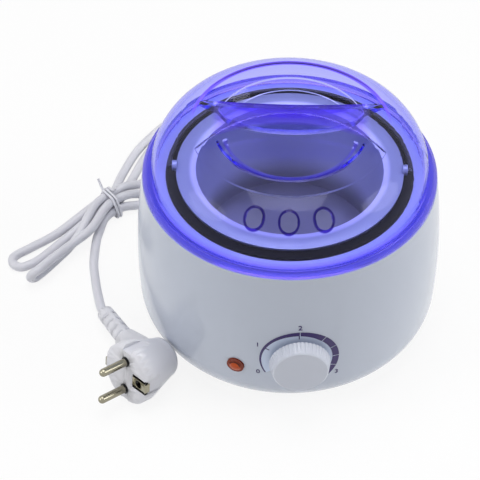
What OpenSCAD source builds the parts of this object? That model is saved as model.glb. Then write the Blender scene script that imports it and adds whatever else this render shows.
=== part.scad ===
// Table-top wax warmer: round housing with a dial at the front, an open heated well, a lift-out
// pot with a bail, a see-through lid with a ridge handle, and a mains lead tied in a hank.
// Millimetres, +Z up, origin on the table below the housing's axis, front towards -Y.

/* [Housing] */
// Largest outer radius of the housing
belly_r = 87.6; // [80:0.2:97]
// Height of the largest radius above the table
belly_z = 47; // [42:1:52]
// How far the side draws in from its largest radius up to the lid seat
rim_in = 4.3; // [3:0.1:6]
// Height of the lid seat above the table
rim_z = 105.5; // [100:0.5:115]
// Radius of the rounded lower edge
corner_r = 22.6; // [18:0.2:25]
// Moulded wall thickness
wall = 2.5; // [2:0.1:3]
// Width of the lid seat around the raised deck
seat_w = 6; // [5:0.1:7]
// Height of the raised deck above the lid seat
spigot_h = 1.5; // [1:0.1:2]
// Thickness of the deck
deck_t = 4; // [3:0.5:5]

/* [Base] */
// Distance from the start of the rounded lower edge in to the base plate
base_in = 2.2; // [1:0.1:4]
// Thickness of the base plate
plate_t = 2.5; // [2:0.1:3]
// Height of the rubber feet
foot_h = 3; // [2:0.5:5]
// Radius of a rubber foot
foot_r = 6.5; // [5:0.5:8]
// Distance of the feet from the edge of the base plate
foot_in = 15.2; // [14.6:0.2:18]
// Distance of the base screws from the edge of the base plate
screw_in = 5; // [4.4:0.1:5.6]

/* [Collar and bowl] */
// How far the black collar laps over the deck around its hole
collar_lap = 4; // [3.4:0.1:6]
// Height of the collar above the deck
collar_h = 1.3; // [1:0.1:2]
// Depth of the collar's skirt below the deck's top
skirt_depth = 11; // [9:0.5:14]
// Gap around the pot in the heated bowl
bowl_gap = 1.4; // [1:0.1:2]
// Sheet thickness of the heated bowl
bowl_t = 1.5; // [1:0.1:1.6]
// Width of the flange that the bowl hangs on
bowl_flange = 6; // [5.4:0.1:7]

/* [Pot] */
// Distance from the largest radius of the housing in to the mouth of the pot
pot_in = 34.8; // [33:0.2:40]
// Draft of the side of the pot from mouth to floor
pot_taper = 3.8; // [2:0.2:8]
// Inside depth of the pot
pot_depth = 58; // [50:0.5:64]
// Sheet thickness of the pot
pot_t = 1.2; // [0.8:0.1:1.5]
// Width of the pot's rim
pot_rim_w = 11.2; // [10:0.1:11.6]
// Height of the pot's rim above the collar
pot_rim_h = 2; // [1.8:0.1:4]
// Turn of the pot and its bail about the axis
pot_turn = -5; // [-90:5:90]
// Diameter of the bail's wire
bail_d = 2.4; // [2:0.1:2.8]

/* [Lid] */
// Distance from the edge of the lid seat in to the lid's flange
lid_in = 0.3; // [0.1:0.1:1]
// Thickness of the lid's flange
flange_t = 2.4; // [2.2:0.1:3]
// Width of the flange around the step
flange_w = 2.2; // [1:0.1:3]
// Height of the step above the lid seat
step_h = 4.4; // [3.5:0.1:6]
// Width of the step around the upright wall
step_w = 2.6; // [1.6:0.1:3]
// Wall thickness of the lid
lid_t = 2.2; // [1.6:0.1:2.4]
// Height of the lid's crown above its seat
crown_h = 48.6; // [46:0.2:54]
// Radius of the domed top
dome_r = 127.3; // [120:0.5:135]
// Radius of the shoulder between top and wall
shoulder_r = 30; // [28:0.5:33]
// Thickness of the ridge handle at its middle
ridge_t = 6.6; // [6:0.2:9]
// Radius of the hollowed sides of the ridge
grip_r = 86.8; // [80:0.2:95]
// Depth of the finger hollows below the crown
hollow_deep = 17.6; // [16:0.2:20]
// Depth of the ledge around the finger hollows below the crown
ledge_deep = 12.8; // [12:0.2:14]
// Radius of the floor of the finger hollows
hollow_floor_r = 36.3; // [33:0.2:38]
// Width of the slope from the floor up to the ledge
slope_w = 5.5; // [4:0.1:7]
// Width of an air vent in the lid
vent_w = 9; // [6:0.5:10]
// Length of an air vent in the lid
vent_l = 11; // [10.5:0.5:13]
// Angle between neighbouring air vents
vent_step = 16; // [12:0.5:20]
// Distance of the vents beyond the edge of the domed top
vent_off = 5; // [4.8:0.1:6]
// Turn of the lid about the axis
lid_turn = -5; // [-90:5:90]

/* [Dial and lamp] */
// Height of the dial's axis above the table
dial_z = 46; // [42:0.5:52]
// Radius of the knob at the housing
knob_r = 17.2; // [16.5:0.1:19]
// How far the knob tapers towards its face
knob_taper = 1.6; // [0.8:0.1:2.4]
// Length of the knob
knob_l = 7.2; // [6.6:0.1:10]
// Gap between the knob and the housing
knob_gap = 2; // [1.5:0.1:3]
// Number of flutes around the knob
flutes = 48; // [24:2:60]
// Diameter of the thermostat's shaft
shaft_d = 6; // [5:0.5:6]
// Direction of the lamp, measured from the dial about the axis
lamp_turn = -23.6; // [-32:0.2:-21]
// Height of the lamp above the table
lamp_z = 36.6; // [32:0.2:50]
// Radius of the lamp's rim
lamp_r = 5; // [4.5:0.1:6]

/* [Mains lead] */
// Diameter of the mains lead
cord_d = 5.6; // [5:0.1:5.7]
// Height of the lead's gland above the table
gland_z = 22; // [18:0.5:26]
// Length of the plug's pins
pin_l = 19; // [17:0.5:20]
// Diameter of the plug's pins
pin_d = 4.8; // [4:0.1:5]
// Distance between the plug's pins
pin_pitch = 19; // [17:0.5:21]
// Radius of the plug's face
plug_r = 18.4; // [17.5:0.1:19]
// Length of the plug's body behind its face
plug_l = 31.8; // [30:0.2:32]

/* [Hidden] */
$fn = 96;

// Facets of the very large arcs
arc_fn = 720;
// Overlap that joins solids and clears cuts
joint = 0.5;
// Rest gap between pieces that lift apart
rest_gap = 0.3;
// Gap around pieces that slip into one another
slip = 0.1;
// Radial gap of a shaft or pin that turns in its hole
run = 0.06;

// Housing
rim_r = belly_r - rim_in;
spigot_r = rim_r - seat_w;
side_rise = rim_z - belly_z;
side_arc = (side_rise * side_rise + pow(belly_r - rim_r, 2)) / (2 * (belly_r - rim_r));
side_x = belly_r - side_arc;
corner_z = foot_h + corner_r;
corner_run = sqrt(pow(side_arc - corner_r, 2) - pow(corner_z - belly_z, 2));
corner_x = side_x + corner_run;
corner_lean = atan2(corner_z - belly_z, corner_run);
blend_z = corner_z + corner_r * sin(corner_lean);
deck_z = rim_z + spigot_h;
deck_low = deck_z - deck_t;
lip_t = 2.5;
plate_z = foot_h + plate_t;
base_r = corner_x - base_in;

// Screws: those of the base, and the small ones inside
screw_r = 1.45;
screw_l = 10;
screw_head_r = 2.8;
screw_head_h = 1.8;
boss_r = 3.9;
boss_ring_r = base_r - screw_in;
lip_r = boss_ring_r - boss_r - rest_gap;
tack_r = 1.1;
tack_l = 6;
tack_head_r = 2.1;
tack_head_h = 1.5;

// Feet
stem_r = 2.4;
barb_r = 3.3;
barb_h = 1.8;
foot_edge = 0.8;
foot_draft = 0.4;
foot_ring_r = base_r - foot_in;

// Air slots in the base plate
slot_w = 2.6;
slot_l = 14;
slot_in = 30.2;
slot_ring_r = base_r - slot_in;

// Collar, bowl and pot, from the pot's mouth outwards and from its rim downwards
pot_mouth_r = belly_r - pot_in;
pot_floor_r = pot_mouth_r - pot_taper;
pot_rim_r = pot_mouth_r + pot_rim_w;
bowl_r = pot_mouth_r + pot_t + bowl_gap;
bowl_out_r = bowl_r + bowl_t;
bowl_rim_r = bowl_out_r + bowl_flange;
collar_in_r = bowl_out_r + slip;
skirt_t = 2.5;
skirt_r = bowl_rim_r + rest_gap + skirt_t;
deck_hole_r = skirt_r + rest_gap;
collar_r = deck_hole_r + collar_lap;
collar_z = deck_z + collar_h;
lip_low = deck_z - 2;
snap_low = 5;
snap_high = 1.5;
snap_w = 1.3;
snap_turn = 14;
pot_seat_z = collar_z + rest_gap;
pot_top_z = collar_z + pot_rim_h;
pot_floor_z = pot_top_z - pot_depth;
pot_base_z = pot_floor_z - pot_t;
bowl_floor_z = pot_base_z - rest_gap;
bowl_base_z = bowl_floor_z - bowl_t;
bowl_corner = 6;
tack_ring_r = (bowl_out_r + bowl_rim_r) / 2;

// Heater band and jacket round the bowl, and the cut-out fuse below it
band_t = 1.5;
band_lift = 10.7;
band_drop = 11.5;
band_low = bowl_base_z + band_lift;
band_high = lip_low - bowl_t - band_drop;
band_split = 4;
jacket_t = 2.6;
jacket_under = 4;
jacket_over = 6;
jacket_low = band_low - jacket_under;
jacket_high = band_high + jacket_over;
band_r = bowl_out_r + slip;
jacket_r = band_r + band_t + slip;
fuse_r = 2;
fuse_l = 11;
fuse_lead = 8;
fuse_wire_r = 0.5;
fuse_z = bowl_base_z - fuse_r - slip;
strap_t = 0.8;
strap_w = 7;
strap_ear = 6;

// Rim and bail of the pot
rim_crown = 30;
rim_mid_r = (pot_mouth_r + pot_rim_r) / 2;
bail_z = collar_z + rest_gap + bail_d / 2;
ear_l = 2.2;
ear_r = 3.2;
ear_x = pot_rim_r + ear_l;
bail_r = ear_x + rest_gap + bail_d / 2 + 0.1;
pin_tip_x = pot_rim_r + 0.5;

// Lid
lid_r = rim_r - lid_in;
step_r = lid_r - flange_w;
lid_wall_r = step_r - step_w;
dome_z = crown_h - dome_r;
shoulder_x = lid_wall_r - shoulder_r;
shoulder_rise = sqrt(pow(dome_r - shoulder_r, 2) - shoulder_x * shoulder_x);
shoulder_z = dome_z + shoulder_rise;
lid_z = rim_z + rest_gap;
grip_y = grip_r + ridge_t / 2;
hollow_floor_h = crown_h - hollow_deep;
hollow_ledge_h = crown_h - ledge_deep;
hollow_ledge_r = hollow_floor_r + slope_w;
hollow_slope = atan2(hollow_ledge_h - hollow_floor_h, hollow_ledge_r - hollow_floor_r);
seam_r = shoulder_x * dome_r / (dome_r - shoulder_r);
vent_r = seam_r + vent_off;
vent_rise = sqrt(shoulder_r * shoulder_r - pow(vent_r - shoulder_x, 2));
vent_z = shoulder_z + vent_rise;
vent_lean = atan2(vent_rise, vent_r - shoulder_x);
recess_h = spigot_h + 0.5;
gate_r = 2.2;
gate_h = 0.5;

// Dial: distances along -Y from the axis
function side_r(z) = side_x + sqrt(side_arc * side_arc - (z - belly_z) * (z - belly_z));
dial_r = side_r(dial_z);
stat_face = dial_r - 5.4;
stat_deep = 15.5;
stat_w = 28;
stat_h = 22;
stat_boss_r = 12;
bush_r = 4.75;
bush_l = 9.5;
nut_seat = dial_r - 0.7;
nut_af = 14;
nut_t = 2.8;
nut_pocket_r = 9.8;
knob_base = dial_r + knob_gap;
knob_face = knob_base + knob_l;
knob_face_r = knob_r - knob_taper;
knob_wall = 2;
knob_edge = 0.8;
knob_hub_r = 5.2;
hub_gap = 0.8;
shaft_r = shaft_d / 2;
shaft_tail = stat_face - 9;
shaft_tip = knob_face - knob_wall - slip;
flute_r = 0.55;
flute_lean = atan2(knob_r - knob_face_r, knob_l);

// Lamp: distances from the axis along the lamp's direction
lamp_wall = side_r(lamp_z);
lamp_seat = lamp_wall - 0.5;
lamp_rim_t = 1.5;
lamp_dome = 1.6;
lamp_body_r = lamp_r - 1;
lens_ball = (lamp_body_r * lamp_body_r + lamp_dome * lamp_dome) / (2 * lamp_dome);
lamp_body_l = 9;
lamp_boss_r = 7.5;
lamp_boss_in = lamp_wall - wall - 1.6;
lamp_nut_r = 6.8;
lamp_nut_t = 3;
bulb_r = 2.5;
bulb_l = 11;

// Terminal block and clamp, on the base plate
block_y = 18;
block_w = 30;
block_deep = 14;
block_h = 13;
pad_h = 5;
pad_r = 3.6;
ear_w = 8;
ear_t = 3;
clamp_w = 26;
clamp_deep = 9;
clamp_in = 0.5;
clamp_y = sqrt(pow(lip_r - clamp_in, 2) - pow(clamp_w / 2, 2)) - clamp_deep / 2;
clamp_screw_x = (clamp_w - 8) / 2;
block_screw_x = (block_w + ear_w) / 2;
clamp_t = 5;
clamp_gap = 0.6;
cord_r = cord_d / 2;

// Gland: distances along +Y from the axis
gland_wall = corner_x + sqrt(corner_r * corner_r - pow(gland_z - corner_z, 2));
gland_seat = gland_wall - 1;
gland_flange_r = 8;
gland_flange_t = 2;
gland_neck_r = 5.4;
gland_tip_r = 4.4;
gland_tip = knob_face;
gland_lock_r = 6.4;
gland_lock_t = 2;
gland_in = gland_wall - wall - 1.4;

// Plug: X along the pins, Z from pin to pin, origin at the middle of the face
plug_at = [-97.3, -70, 19.6];
plug_yaw = 219;
plug_tilt = 11;
plug_roll = 6;
plug_front_l = 8;
plug_waist = 6.2;
plug_back_r = plug_r - plug_waist;
plug_edge = 1.6;
plug_back_edge = 5;
clip_w = 9;
clip_t = 0.9;
clip_l = 15;
clip_in = 1.8;
clip_y = plug_r - clip_in;
clip_hole_r = 2.1;
pin_collar_r = 3.1;
pin_collar_h = 0.5;
pin_root = 12;
neck_set = 8;
neck_x = -plug_front_l - neck_set;
neck_turn = 14.5;
neck_r = 8.6;
neck_tip_r = 6.6;
neck_l = 26;
relief_r = 5.6;
relief_tip_r = 5;
relief_end = 55;
relief_ribs = 4;
relief_gap = 1.7;

// Hank: places along and across the bundle, counted from the tie
tie_at = [-104.6, 85.1];
tie_turn = 32;
tie_d = 1.6;
tie_turns = 2;
tie_pitch = 2.2;
tie_slack = 0.5;
tie_tail = 6;
lay_z = cord_r;
tie_lift = tie_d + tie_slack + 0.05;
slot = cord_d + 0.8;
low_z = lay_z + tie_lift;
high_z = low_z + 5.8;
nest = cord_d + 1.2;
loop_at = [90, 18];
loop_reach = 54;
loop_half = 30;
fold_r = 5.8;
fold_a = [-70, -7.9];
fold_b = [-70, -27.2, 7.6];
fold_b_r = 4.9;
fold_b_lean = 68;
lead_end = [0, gland_tip, gland_z];

// Axis helpers: along -Y at the dial, along +Y at the gland, outwards at the lamp
module at_dial() { translate([0, 0, dial_z]) rotate([90, 0, 0]) children(); }
module at_gland() { translate([0, 0, gland_z]) rotate([-90, 0, 0]) children(); }
module at_lamp() { rotate([0, 0, lamp_turn]) translate([0, 0, lamp_z]) rotate([90, 0, 0]) children(); }
module at_plug() { translate(plug_at) rotate([plug_roll, -plug_tilt, plug_yaw]) children(); }
module along_pins() { rotate([0, 90, 0]) children(); }
module at_neck() { translate([neck_x, 0, 0]) rotate([90, 0, -neck_turn]) children(); }
module span(low, high, r) { translate([0, 0, low]) cylinder(h = high - low, r = r); }
module ring4(r) { for (a = [45:90:315]) rotate([0, 0, a]) translate([r, 0, 0]) children(); }
module ring3(r) { for (a = [30:120:270]) rotate([0, 0, a]) translate([r, 0, 0]) children(); }
module block(low, high) { translate(low) cube(high - low); }

// Half section of the housing's outside, drawn in by an inset
module side_region(inset) {
    intersection() {
        translate([side_x, belly_z]) circle(r = side_arc - inset, $fn = arc_fn);
        translate([0, blend_z]) square([belly_r + joint, rim_z - blend_z]);
    }
    translate([corner_x, corner_z]) circle(r = corner_r - inset, $fn = 180);
    translate([0, foot_h + inset]) square([corner_x, blend_z - foot_h - inset + joint]);
}

module housing_section() {
    difference() {
        union() {
            side_region(0);
            translate([0, deck_low]) square([spigot_r, deck_t]);
        }
        intersection() {
            side_region(wall);
            square([belly_r, deck_low]);
        }
        translate([0, deck_low - joint]) square([deck_hole_r, deck_t + 2 * joint]);
        translate([0, foot_h - joint]) square([base_r + slip, wall + 2 * joint]);
    }
    translate([lip_r, plate_z]) square([base_r + wall - lip_r, lip_t]);
    translate([base_r + slip, foot_h + wall / 2]) square([wall - slip, plate_t + lip_t - wall / 2]);
}

module housing() {
    color("white") difference() {
        union() {
            rotate_extrude($fn = 180) housing_section();
            ring4(boss_ring_r) span(plate_z + lip_t - joint, plate_z + screw_l, boss_r);
            at_dial() span(stat_face, dial_r - wall / 2, stat_boss_r);
            at_lamp() span(lamp_boss_in, lamp_wall - wall / 2, lamp_boss_r);
        }
        ring4(boss_ring_r) span(plate_z - joint, plate_z + screw_l - plate_t, screw_r);
        at_dial() span(stat_face - joint, dial_r + joint, bush_r + slip);
        at_dial() span(nut_seat, dial_r + 2, nut_pocket_r);
        at_lamp() span(lamp_boss_in - joint, lamp_wall + joint, lamp_body_r + slip);
        at_lamp() span(lamp_seat, lamp_wall + 2, lamp_r + slip);
        at_gland() span(gland_in - 2, gland_wall + joint, gland_neck_r + slip);
        at_gland() span(gland_seat, gland_wall + 2, gland_flange_r + slip);
    }
}

module base_plate() {
    color("gainsboro") difference() {
        union() {
            span(foot_h, plate_z, base_r);
            for (s = [-1, 1]) translate([s * block_screw_x, block_y, 0])
                span(plate_z - joint, plate_z + pad_h, pad_r);
            block([-clamp_w / 2, clamp_y - clamp_deep / 2, plate_z - joint],
                [clamp_w / 2, clamp_y + clamp_deep / 2, gland_z - clamp_gap / 2]);
        }
        ring4(boss_ring_r) span(foot_h - joint, plate_z + joint, screw_r + slip);
        ring4(foot_ring_r) span(foot_h - joint, plate_z + joint, stem_r + slip);
        for (a = [0:30:330]) rotate([0, 0, a]) translate([0, -slot_ring_r, foot_h - joint])
            linear_extrude(plate_t + 2 * joint) slot2d(slot_w, slot_l);
        for (s = [-1, 1]) translate([s * block_screw_x, block_y, 0])
            span(plate_z + joint, plate_z + pad_h + joint, tack_r);
        for (s = [-1, 1]) translate([s * clamp_screw_x, clamp_y, 0])
            span(gland_z - tack_l, gland_z + joint, tack_r);
        at_gland() span(clamp_y - clamp_deep, clamp_y + clamp_deep, cord_r + slip);
    }
}

// Slot with round ends, running along Y
module slot2d(w, l) {
    for (s = [-1, 1]) translate([0, s * (l - w) / 2]) circle(d = w, $fn = 32);
    square([w, l - w], center = true);
}

// Pan-head screw: the head stands on z = 0 and the shank points up
module screw(r, l, head_r, head_h) {
    rotate_extrude($fn = 32) {
        translate([0, -head_h]) square([head_r, head_h]);
        square([r, l]);
    }
}

module base_screws() {
    color("silver") ring4(boss_ring_r) translate([0, 0, foot_h])
        screw(screw_r - slip, screw_l - joint, screw_head_r, screw_head_h);
}

module feet() {
    color("dimgray") ring4(foot_ring_r) rotate_extrude($fn = 48) {
        polygon([[0, 0], [foot_r - foot_edge, 0], [foot_r, foot_edge],
            [foot_r - foot_draft, foot_h], [0, foot_h]]);
        square([stem_r, plate_z + joint]);
        translate([0, plate_z]) square([barb_r, barb_h]);
    }
}

module collar() {
    color("black") difference() {
        union() {
            rotate_extrude($fn = 180) difference() {
                union() {
                    translate([collar_in_r, lip_low]) square([skirt_r - collar_in_r, collar_z - lip_low]);
                    translate([collar_in_r, deck_z]) square([collar_r - collar_in_r - collar_h, collar_h]);
                    translate([collar_r - collar_h, deck_z]) intersection() {
                        circle(r = collar_h, $fn = 48);
                        square(collar_h);
                    }
                    translate([skirt_r - skirt_t, deck_z - skirt_depth]) square([skirt_t, skirt_depth]);
                }
            }
            for (a = [0:90:270]) rotate([0, 0, a - snap_turn / 2])
                rotate_extrude(angle = snap_turn, $fn = 180)
                    polygon([[skirt_r - joint, deck_low - snap_low], [skirt_r, deck_low - snap_low],
                        [skirt_r + snap_w, deck_low - snap_high], [skirt_r + snap_w, deck_low - slip],
                        [skirt_r - joint, deck_low - slip]]);
        }
        ring3(tack_ring_r) span(lip_low - joint, lip_low + tack_l - 2 * bowl_t, tack_r);
    }
}

module bowl_outline(inset) {
    low = bowl_base_z + inset;
    round_r = bowl_corner + bowl_t - inset;
    translate([0, low + round_r]) square([bowl_out_r - inset, lip_low - low - round_r + inset * 2]);
    translate([0, low]) square([bowl_out_r - inset - round_r, round_r + joint]);
    translate([bowl_out_r - inset - round_r, low + round_r]) circle(r = round_r, $fn = 64);
}

module heater_bowl() {
    color("darkgray") difference() {
        rotate_extrude($fn = 180) {
            difference() {
                intersection() {
                    bowl_outline(0);
                    square([bowl_rim_r, lip_low]);
                }
                bowl_outline(bowl_t);
            }
            translate([bowl_r, lip_low - bowl_t]) square([bowl_rim_r - bowl_r, bowl_t]);
        }
        ring3(tack_ring_r) span(lip_low - bowl_t - joint, lip_low + joint, tack_r + slip);
    }
}

module small_screws() {
    color("silver") {
        ring3(tack_ring_r) translate([0, 0, lip_low - bowl_t])
            screw(tack_r - slip, tack_l - 2, tack_head_r, tack_head_h);
        for (s = [-1, 1]) translate([s * block_screw_x, block_y, plate_z + pad_h + ear_t])
            mirror([0, 0, 1]) screw(tack_r - slip, tack_l, tack_head_r, tack_head_h);
        for (s = [-1, 1]) translate([s * clamp_screw_x, clamp_y, gland_z + clamp_t])
            mirror([0, 0, 1]) screw(tack_r - slip, tack_l + clamp_t - 2, tack_head_r, tack_head_h);
    }
}

module heater_band() {
    color("peru") difference() {
        span(band_low, band_high, band_r + band_t);
        span(band_low - joint, band_high + joint, band_r);
        rotate([0, 0, 180]) block([0, -band_split / 2, band_low - joint],
            [band_r + 2 * band_t, band_split / 2, band_high + joint]);
    }
}

module insulation_jacket() {
    color("wheat") difference() {
        span(jacket_low, jacket_high, jacket_r + jacket_t);
        span(jacket_low - joint, jacket_high + joint, jacket_r);
    }
}

// Cut-out fuse below the bowl, and the strap that is spot-welded over it
module thermal_fuse() {
    color("silver") translate([0, 0, fuse_z]) rotate([0, 90, 0]) {
        span(-fuse_l / 2, fuse_l / 2, fuse_r);
        span(-fuse_l / 2 - fuse_lead, fuse_l / 2 + fuse_lead, fuse_wire_r);
    }
}

module fuse_clip() {
    half = fuse_r + slip;
    out = half + strap_t;
    color("goldenrod") difference() {
        union() {
            block([-strap_w / 2, -out, fuse_z - out], [strap_w / 2, out, bowl_base_z]);
            block([-strap_w / 2, -out - strap_ear, bowl_base_z - strap_t],
                [strap_w / 2, out + strap_ear, bowl_base_z]);
        }
        block([-strap_w, -half, fuse_z - half], [strap_w, half, bowl_base_z + joint]);
    }
}

module thermostat() {
    color("ivory") difference() {
        union() {
            block([-stat_w / 2, -stat_face, dial_z - stat_h / 2],
                [stat_w / 2, -stat_face + stat_deep, dial_z + stat_h / 2]);
            at_dial() span(stat_face - joint, stat_face + bush_l, bush_r);
            for (s = [-1, 1]) translate([s * stat_w / 4, -stat_face + stat_deep / 2, dial_z - stat_h / 2])
                block([-2.4, -0.4, -7], [2.4, 0.4, joint]);
        }
        at_dial() span(shaft_tail - slip, stat_face + bush_l + joint, shaft_r + run);
    }
}

module thermostat_nut() {
    color("silver") at_dial() translate([0, 0, nut_seat]) difference() {
        cylinder(h = nut_t, r = nut_af / sqrt(3), $fn = 6);
        span(-joint, nut_t + joint, bush_r + slip / 2);
    }
}

module thermostat_shaft() {
    color("silver") at_dial() span(shaft_tail, shaft_tip, shaft_r);
}

module knob() {
    cavity_r = knob_face_r - knob_wall;
    color("white") at_dial() difference() {
        union() {
            difference() {
                rotate_extrude($fn = 144) polygon([[0, knob_base], [knob_r, knob_base],
                    [knob_face_r, knob_face - knob_edge], [knob_face_r - knob_edge, knob_face],
                    [0, knob_face]]);
                span(knob_base - joint, knob_face - knob_wall, cavity_r);
            }
            span(stat_face + bush_l + hub_gap, knob_face - knob_wall / 2, knob_hub_r);
        }
        span(knob_base - joint, shaft_tip + slip, shaft_r + slip / 4);
        for (a = [0:360 / flutes:359]) rotate([0, 0, a]) translate([knob_r + 0.15, 0, knob_base])
            rotate([0, -flute_lean, 0]) span(-1, knob_l + 1, flute_r, $fn = 24);
    }
}

module lamp_lens() {
    color("orangered") at_lamp() difference() {
        union() {
            span(lamp_seat, lamp_seat + lamp_rim_t, lamp_r);
            span(lamp_seat - lamp_body_l, lamp_seat + joint, lamp_body_r);
            translate([0, 0, lamp_seat + lamp_rim_t]) intersection() {
                translate([0, 0, lamp_dome - lens_ball]) sphere(r = lens_ball);
                span(-joint, lamp_dome + joint, lamp_r);
            }
        }
        span(lamp_seat - lamp_body_l - joint, lamp_seat, bulb_r + slip);
    }
}

module lamp_nut() {
    color("dimgray") at_lamp() difference() {
        span(lamp_boss_in - lamp_nut_t, lamp_boss_in, lamp_nut_r);
        span(lamp_boss_in - lamp_nut_t - joint, lamp_boss_in + joint, lamp_body_r + slip);
        for (a = [0:30:330]) rotate([0, 0, a]) translate([lamp_nut_r + 0.2, 0, 0])
            span(lamp_boss_in - lamp_nut_t - joint, lamp_boss_in + joint, 0.6, $fn = 24);
    }
}

module lamp_bulb() {
    color("orange") at_lamp() {
        span(lamp_seat - slip - bulb_l, lamp_seat - slip - bulb_r, bulb_r);
        translate([0, 0, lamp_seat - slip - bulb_r]) sphere(r = bulb_r, $fn = 48);
    }
}

module terminal_block() {
    low = plate_z + pad_h;
    color("ivory") difference() {
        union() {
            block([-block_w / 2, block_y - block_deep / 2, low],
                [block_w / 2, block_y + block_deep / 2, low + block_h]);
            block([-block_w / 2 - ear_w, block_y - block_deep / 4, low],
                [block_w / 2 + ear_w, block_y + block_deep / 4, low + ear_t]);
        }
        for (s = [-1, 1]) translate([s * block_screw_x, block_y, 0])
            span(low - joint, low + ear_t + joint, tack_r + slip);
        for (s = [-1:1]) translate([s * block_w / 3, block_y, 0]) {
            span(low + block_h / 2, low + block_h + joint, 2.4);
            translate([0, 0, low + block_h / 2]) rotate([90, 0, 0]) span(-block_deep, block_deep, 1.7);
        }
    }
}

module cord_clamp() {
    color("white") difference() {
        block([-clamp_w / 2, clamp_y - clamp_deep / 2, gland_z + clamp_gap / 2],
            [clamp_w / 2, clamp_y + clamp_deep / 2, gland_z + clamp_t]);
        at_gland() span(clamp_y - clamp_deep, clamp_y + clamp_deep, cord_r + slip);
        for (s = [-1, 1]) translate([s * clamp_screw_x, clamp_y, 0])
            span(gland_z - joint, gland_z + clamp_t + joint, tack_r + slip);
    }
}

module cord_gland() {
    flange_z = gland_seat + gland_flange_t;
    color("whitesmoke") at_gland() difference() {
        union() {
            span(gland_seat, flange_z, gland_flange_r);
            span(gland_in, gland_seat + joint, gland_neck_r);
            span(gland_in - gland_lock_t, gland_in + slip, gland_lock_r - 1);
            translate([0, 0, flange_z - slip])
                cylinder(h = gland_tip - flange_z + slip, r1 = gland_neck_r + 0.6, r2 = gland_tip_r);
        }
        span(gland_in - gland_lock_t - joint, gland_tip + joint, cord_r + slip / 2);
    }
}

module inner_lead() {
    color("white") at_gland() span(block_y + block_deep / 2 + rest_gap, gland_tip, cord_r);
}

// Wide rolled rim: a shallow arch of sheet with its outer edge turned down to the collar
module pot_section() {
    arch_z = pot_top_z - rim_crown;
    intersection() {
        difference() {
            translate([rim_mid_r, arch_z]) circle(r = rim_crown, $fn = arc_fn);
            translate([rim_mid_r, arch_z]) circle(r = rim_crown - pot_t, $fn = arc_fn);
        }
        translate([pot_mouth_r, arch_z]) square([pot_rim_r - pot_mouth_r, rim_crown]);
    }
    intersection() {
        translate([rim_mid_r, arch_z]) circle(r = rim_crown, $fn = arc_fn);
        union() {
            translate([pot_rim_r - pot_t, pot_seat_z]) square([pot_t, pot_rim_h]);
            polygon([[0, pot_base_z], [pot_floor_r + pot_t, pot_base_z], [pot_mouth_r + pot_t, pot_top_z],
                [pot_mouth_r, pot_top_z], [pot_floor_r, pot_floor_z], [0, pot_floor_z]]);
        }
    }
    polygon([[0, pot_base_z], [pot_floor_r + pot_t, pot_base_z], [pot_mouth_r + pot_t, pot_top_z - 2],
        [pot_mouth_r, pot_top_z - 2], [pot_floor_r, pot_floor_z], [0, pot_floor_z]]);
}

module pot() {
    color("silver") rotate([0, 0, pot_turn]) {
        rotate_extrude($fn = 180) pot_section();
        for (s = [0, 180]) rotate([0, 0, s]) difference() {
            intersection() {
                translate([0, 0, bail_z]) rotate([0, 90, 0]) span(pot_rim_r - 1, ear_x, ear_r);
                block([pot_rim_r - pot_t / 2, -ear_r, pot_seat_z], [ear_x + joint, ear_r, bail_z + ear_r]);
            }
            translate([0, 0, bail_z]) rotate([0, 90, 0])
                span(pot_rim_r + 2 * slip, ear_x + joint, bail_d / 2 + run);
        }
    }
}

module bail() {
    color("dimgray") rotate([0, 0, pot_turn]) translate([0, 0, bail_z]) {
        rotate_extrude(angle = 180, $fn = 180) translate([bail_r, 0]) circle(d = bail_d, $fn = 32);
        for (s = [0, 180]) rotate([0, 0, s]) {
            translate([bail_r, 0, 0]) sphere(d = bail_d, $fn = 32);
            rotate([0, 90, 0]) span(pin_tip_x, bail_r, bail_d / 2, $fn = 32);
        }
    }
}

// Half section of the lid's body, drawn in by an inset, with the seat at height 0
module lid_region(inset) {
    reach = 2 * dome_r;
    lean = atan2(shoulder_rise, shoulder_x);
    intersection() {
        translate([0, dome_z]) circle(r = dome_r - inset, $fn = arc_fn);
        polygon([[0, shoulder_z], [shoulder_x, shoulder_z],
            [shoulder_x + reach * cos(lean), shoulder_z + reach * sin(lean)], [0, shoulder_z + reach]]);
    }
    translate([shoulder_x, shoulder_z]) circle(r = shoulder_r - inset, $fn = 180);
    translate([0, -shoulder_r]) square([lid_wall_r - inset, shoulder_z + shoulder_r]);
}

// Space above the finger hollows, grown by a margin
module hollow_space(margin) {
    shift = margin * tan(hollow_slope / 2);
    for (s = [-1, 1]) intersection() {
        translate([0, s * grip_y, 0]) cylinder(h = 2 * crown_h, r = grip_r + margin, $fn = 360);
        rotate_extrude($fn = 180) polygon([[0, hollow_floor_h - margin],
            [hollow_floor_r + shift, hollow_floor_h - margin],
            [hollow_ledge_r + shift, hollow_ledge_h - margin],
            [lid_r, hollow_ledge_h - margin], [lid_r, 2 * crown_h], [0, 2 * crown_h]]);
    }
}

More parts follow.
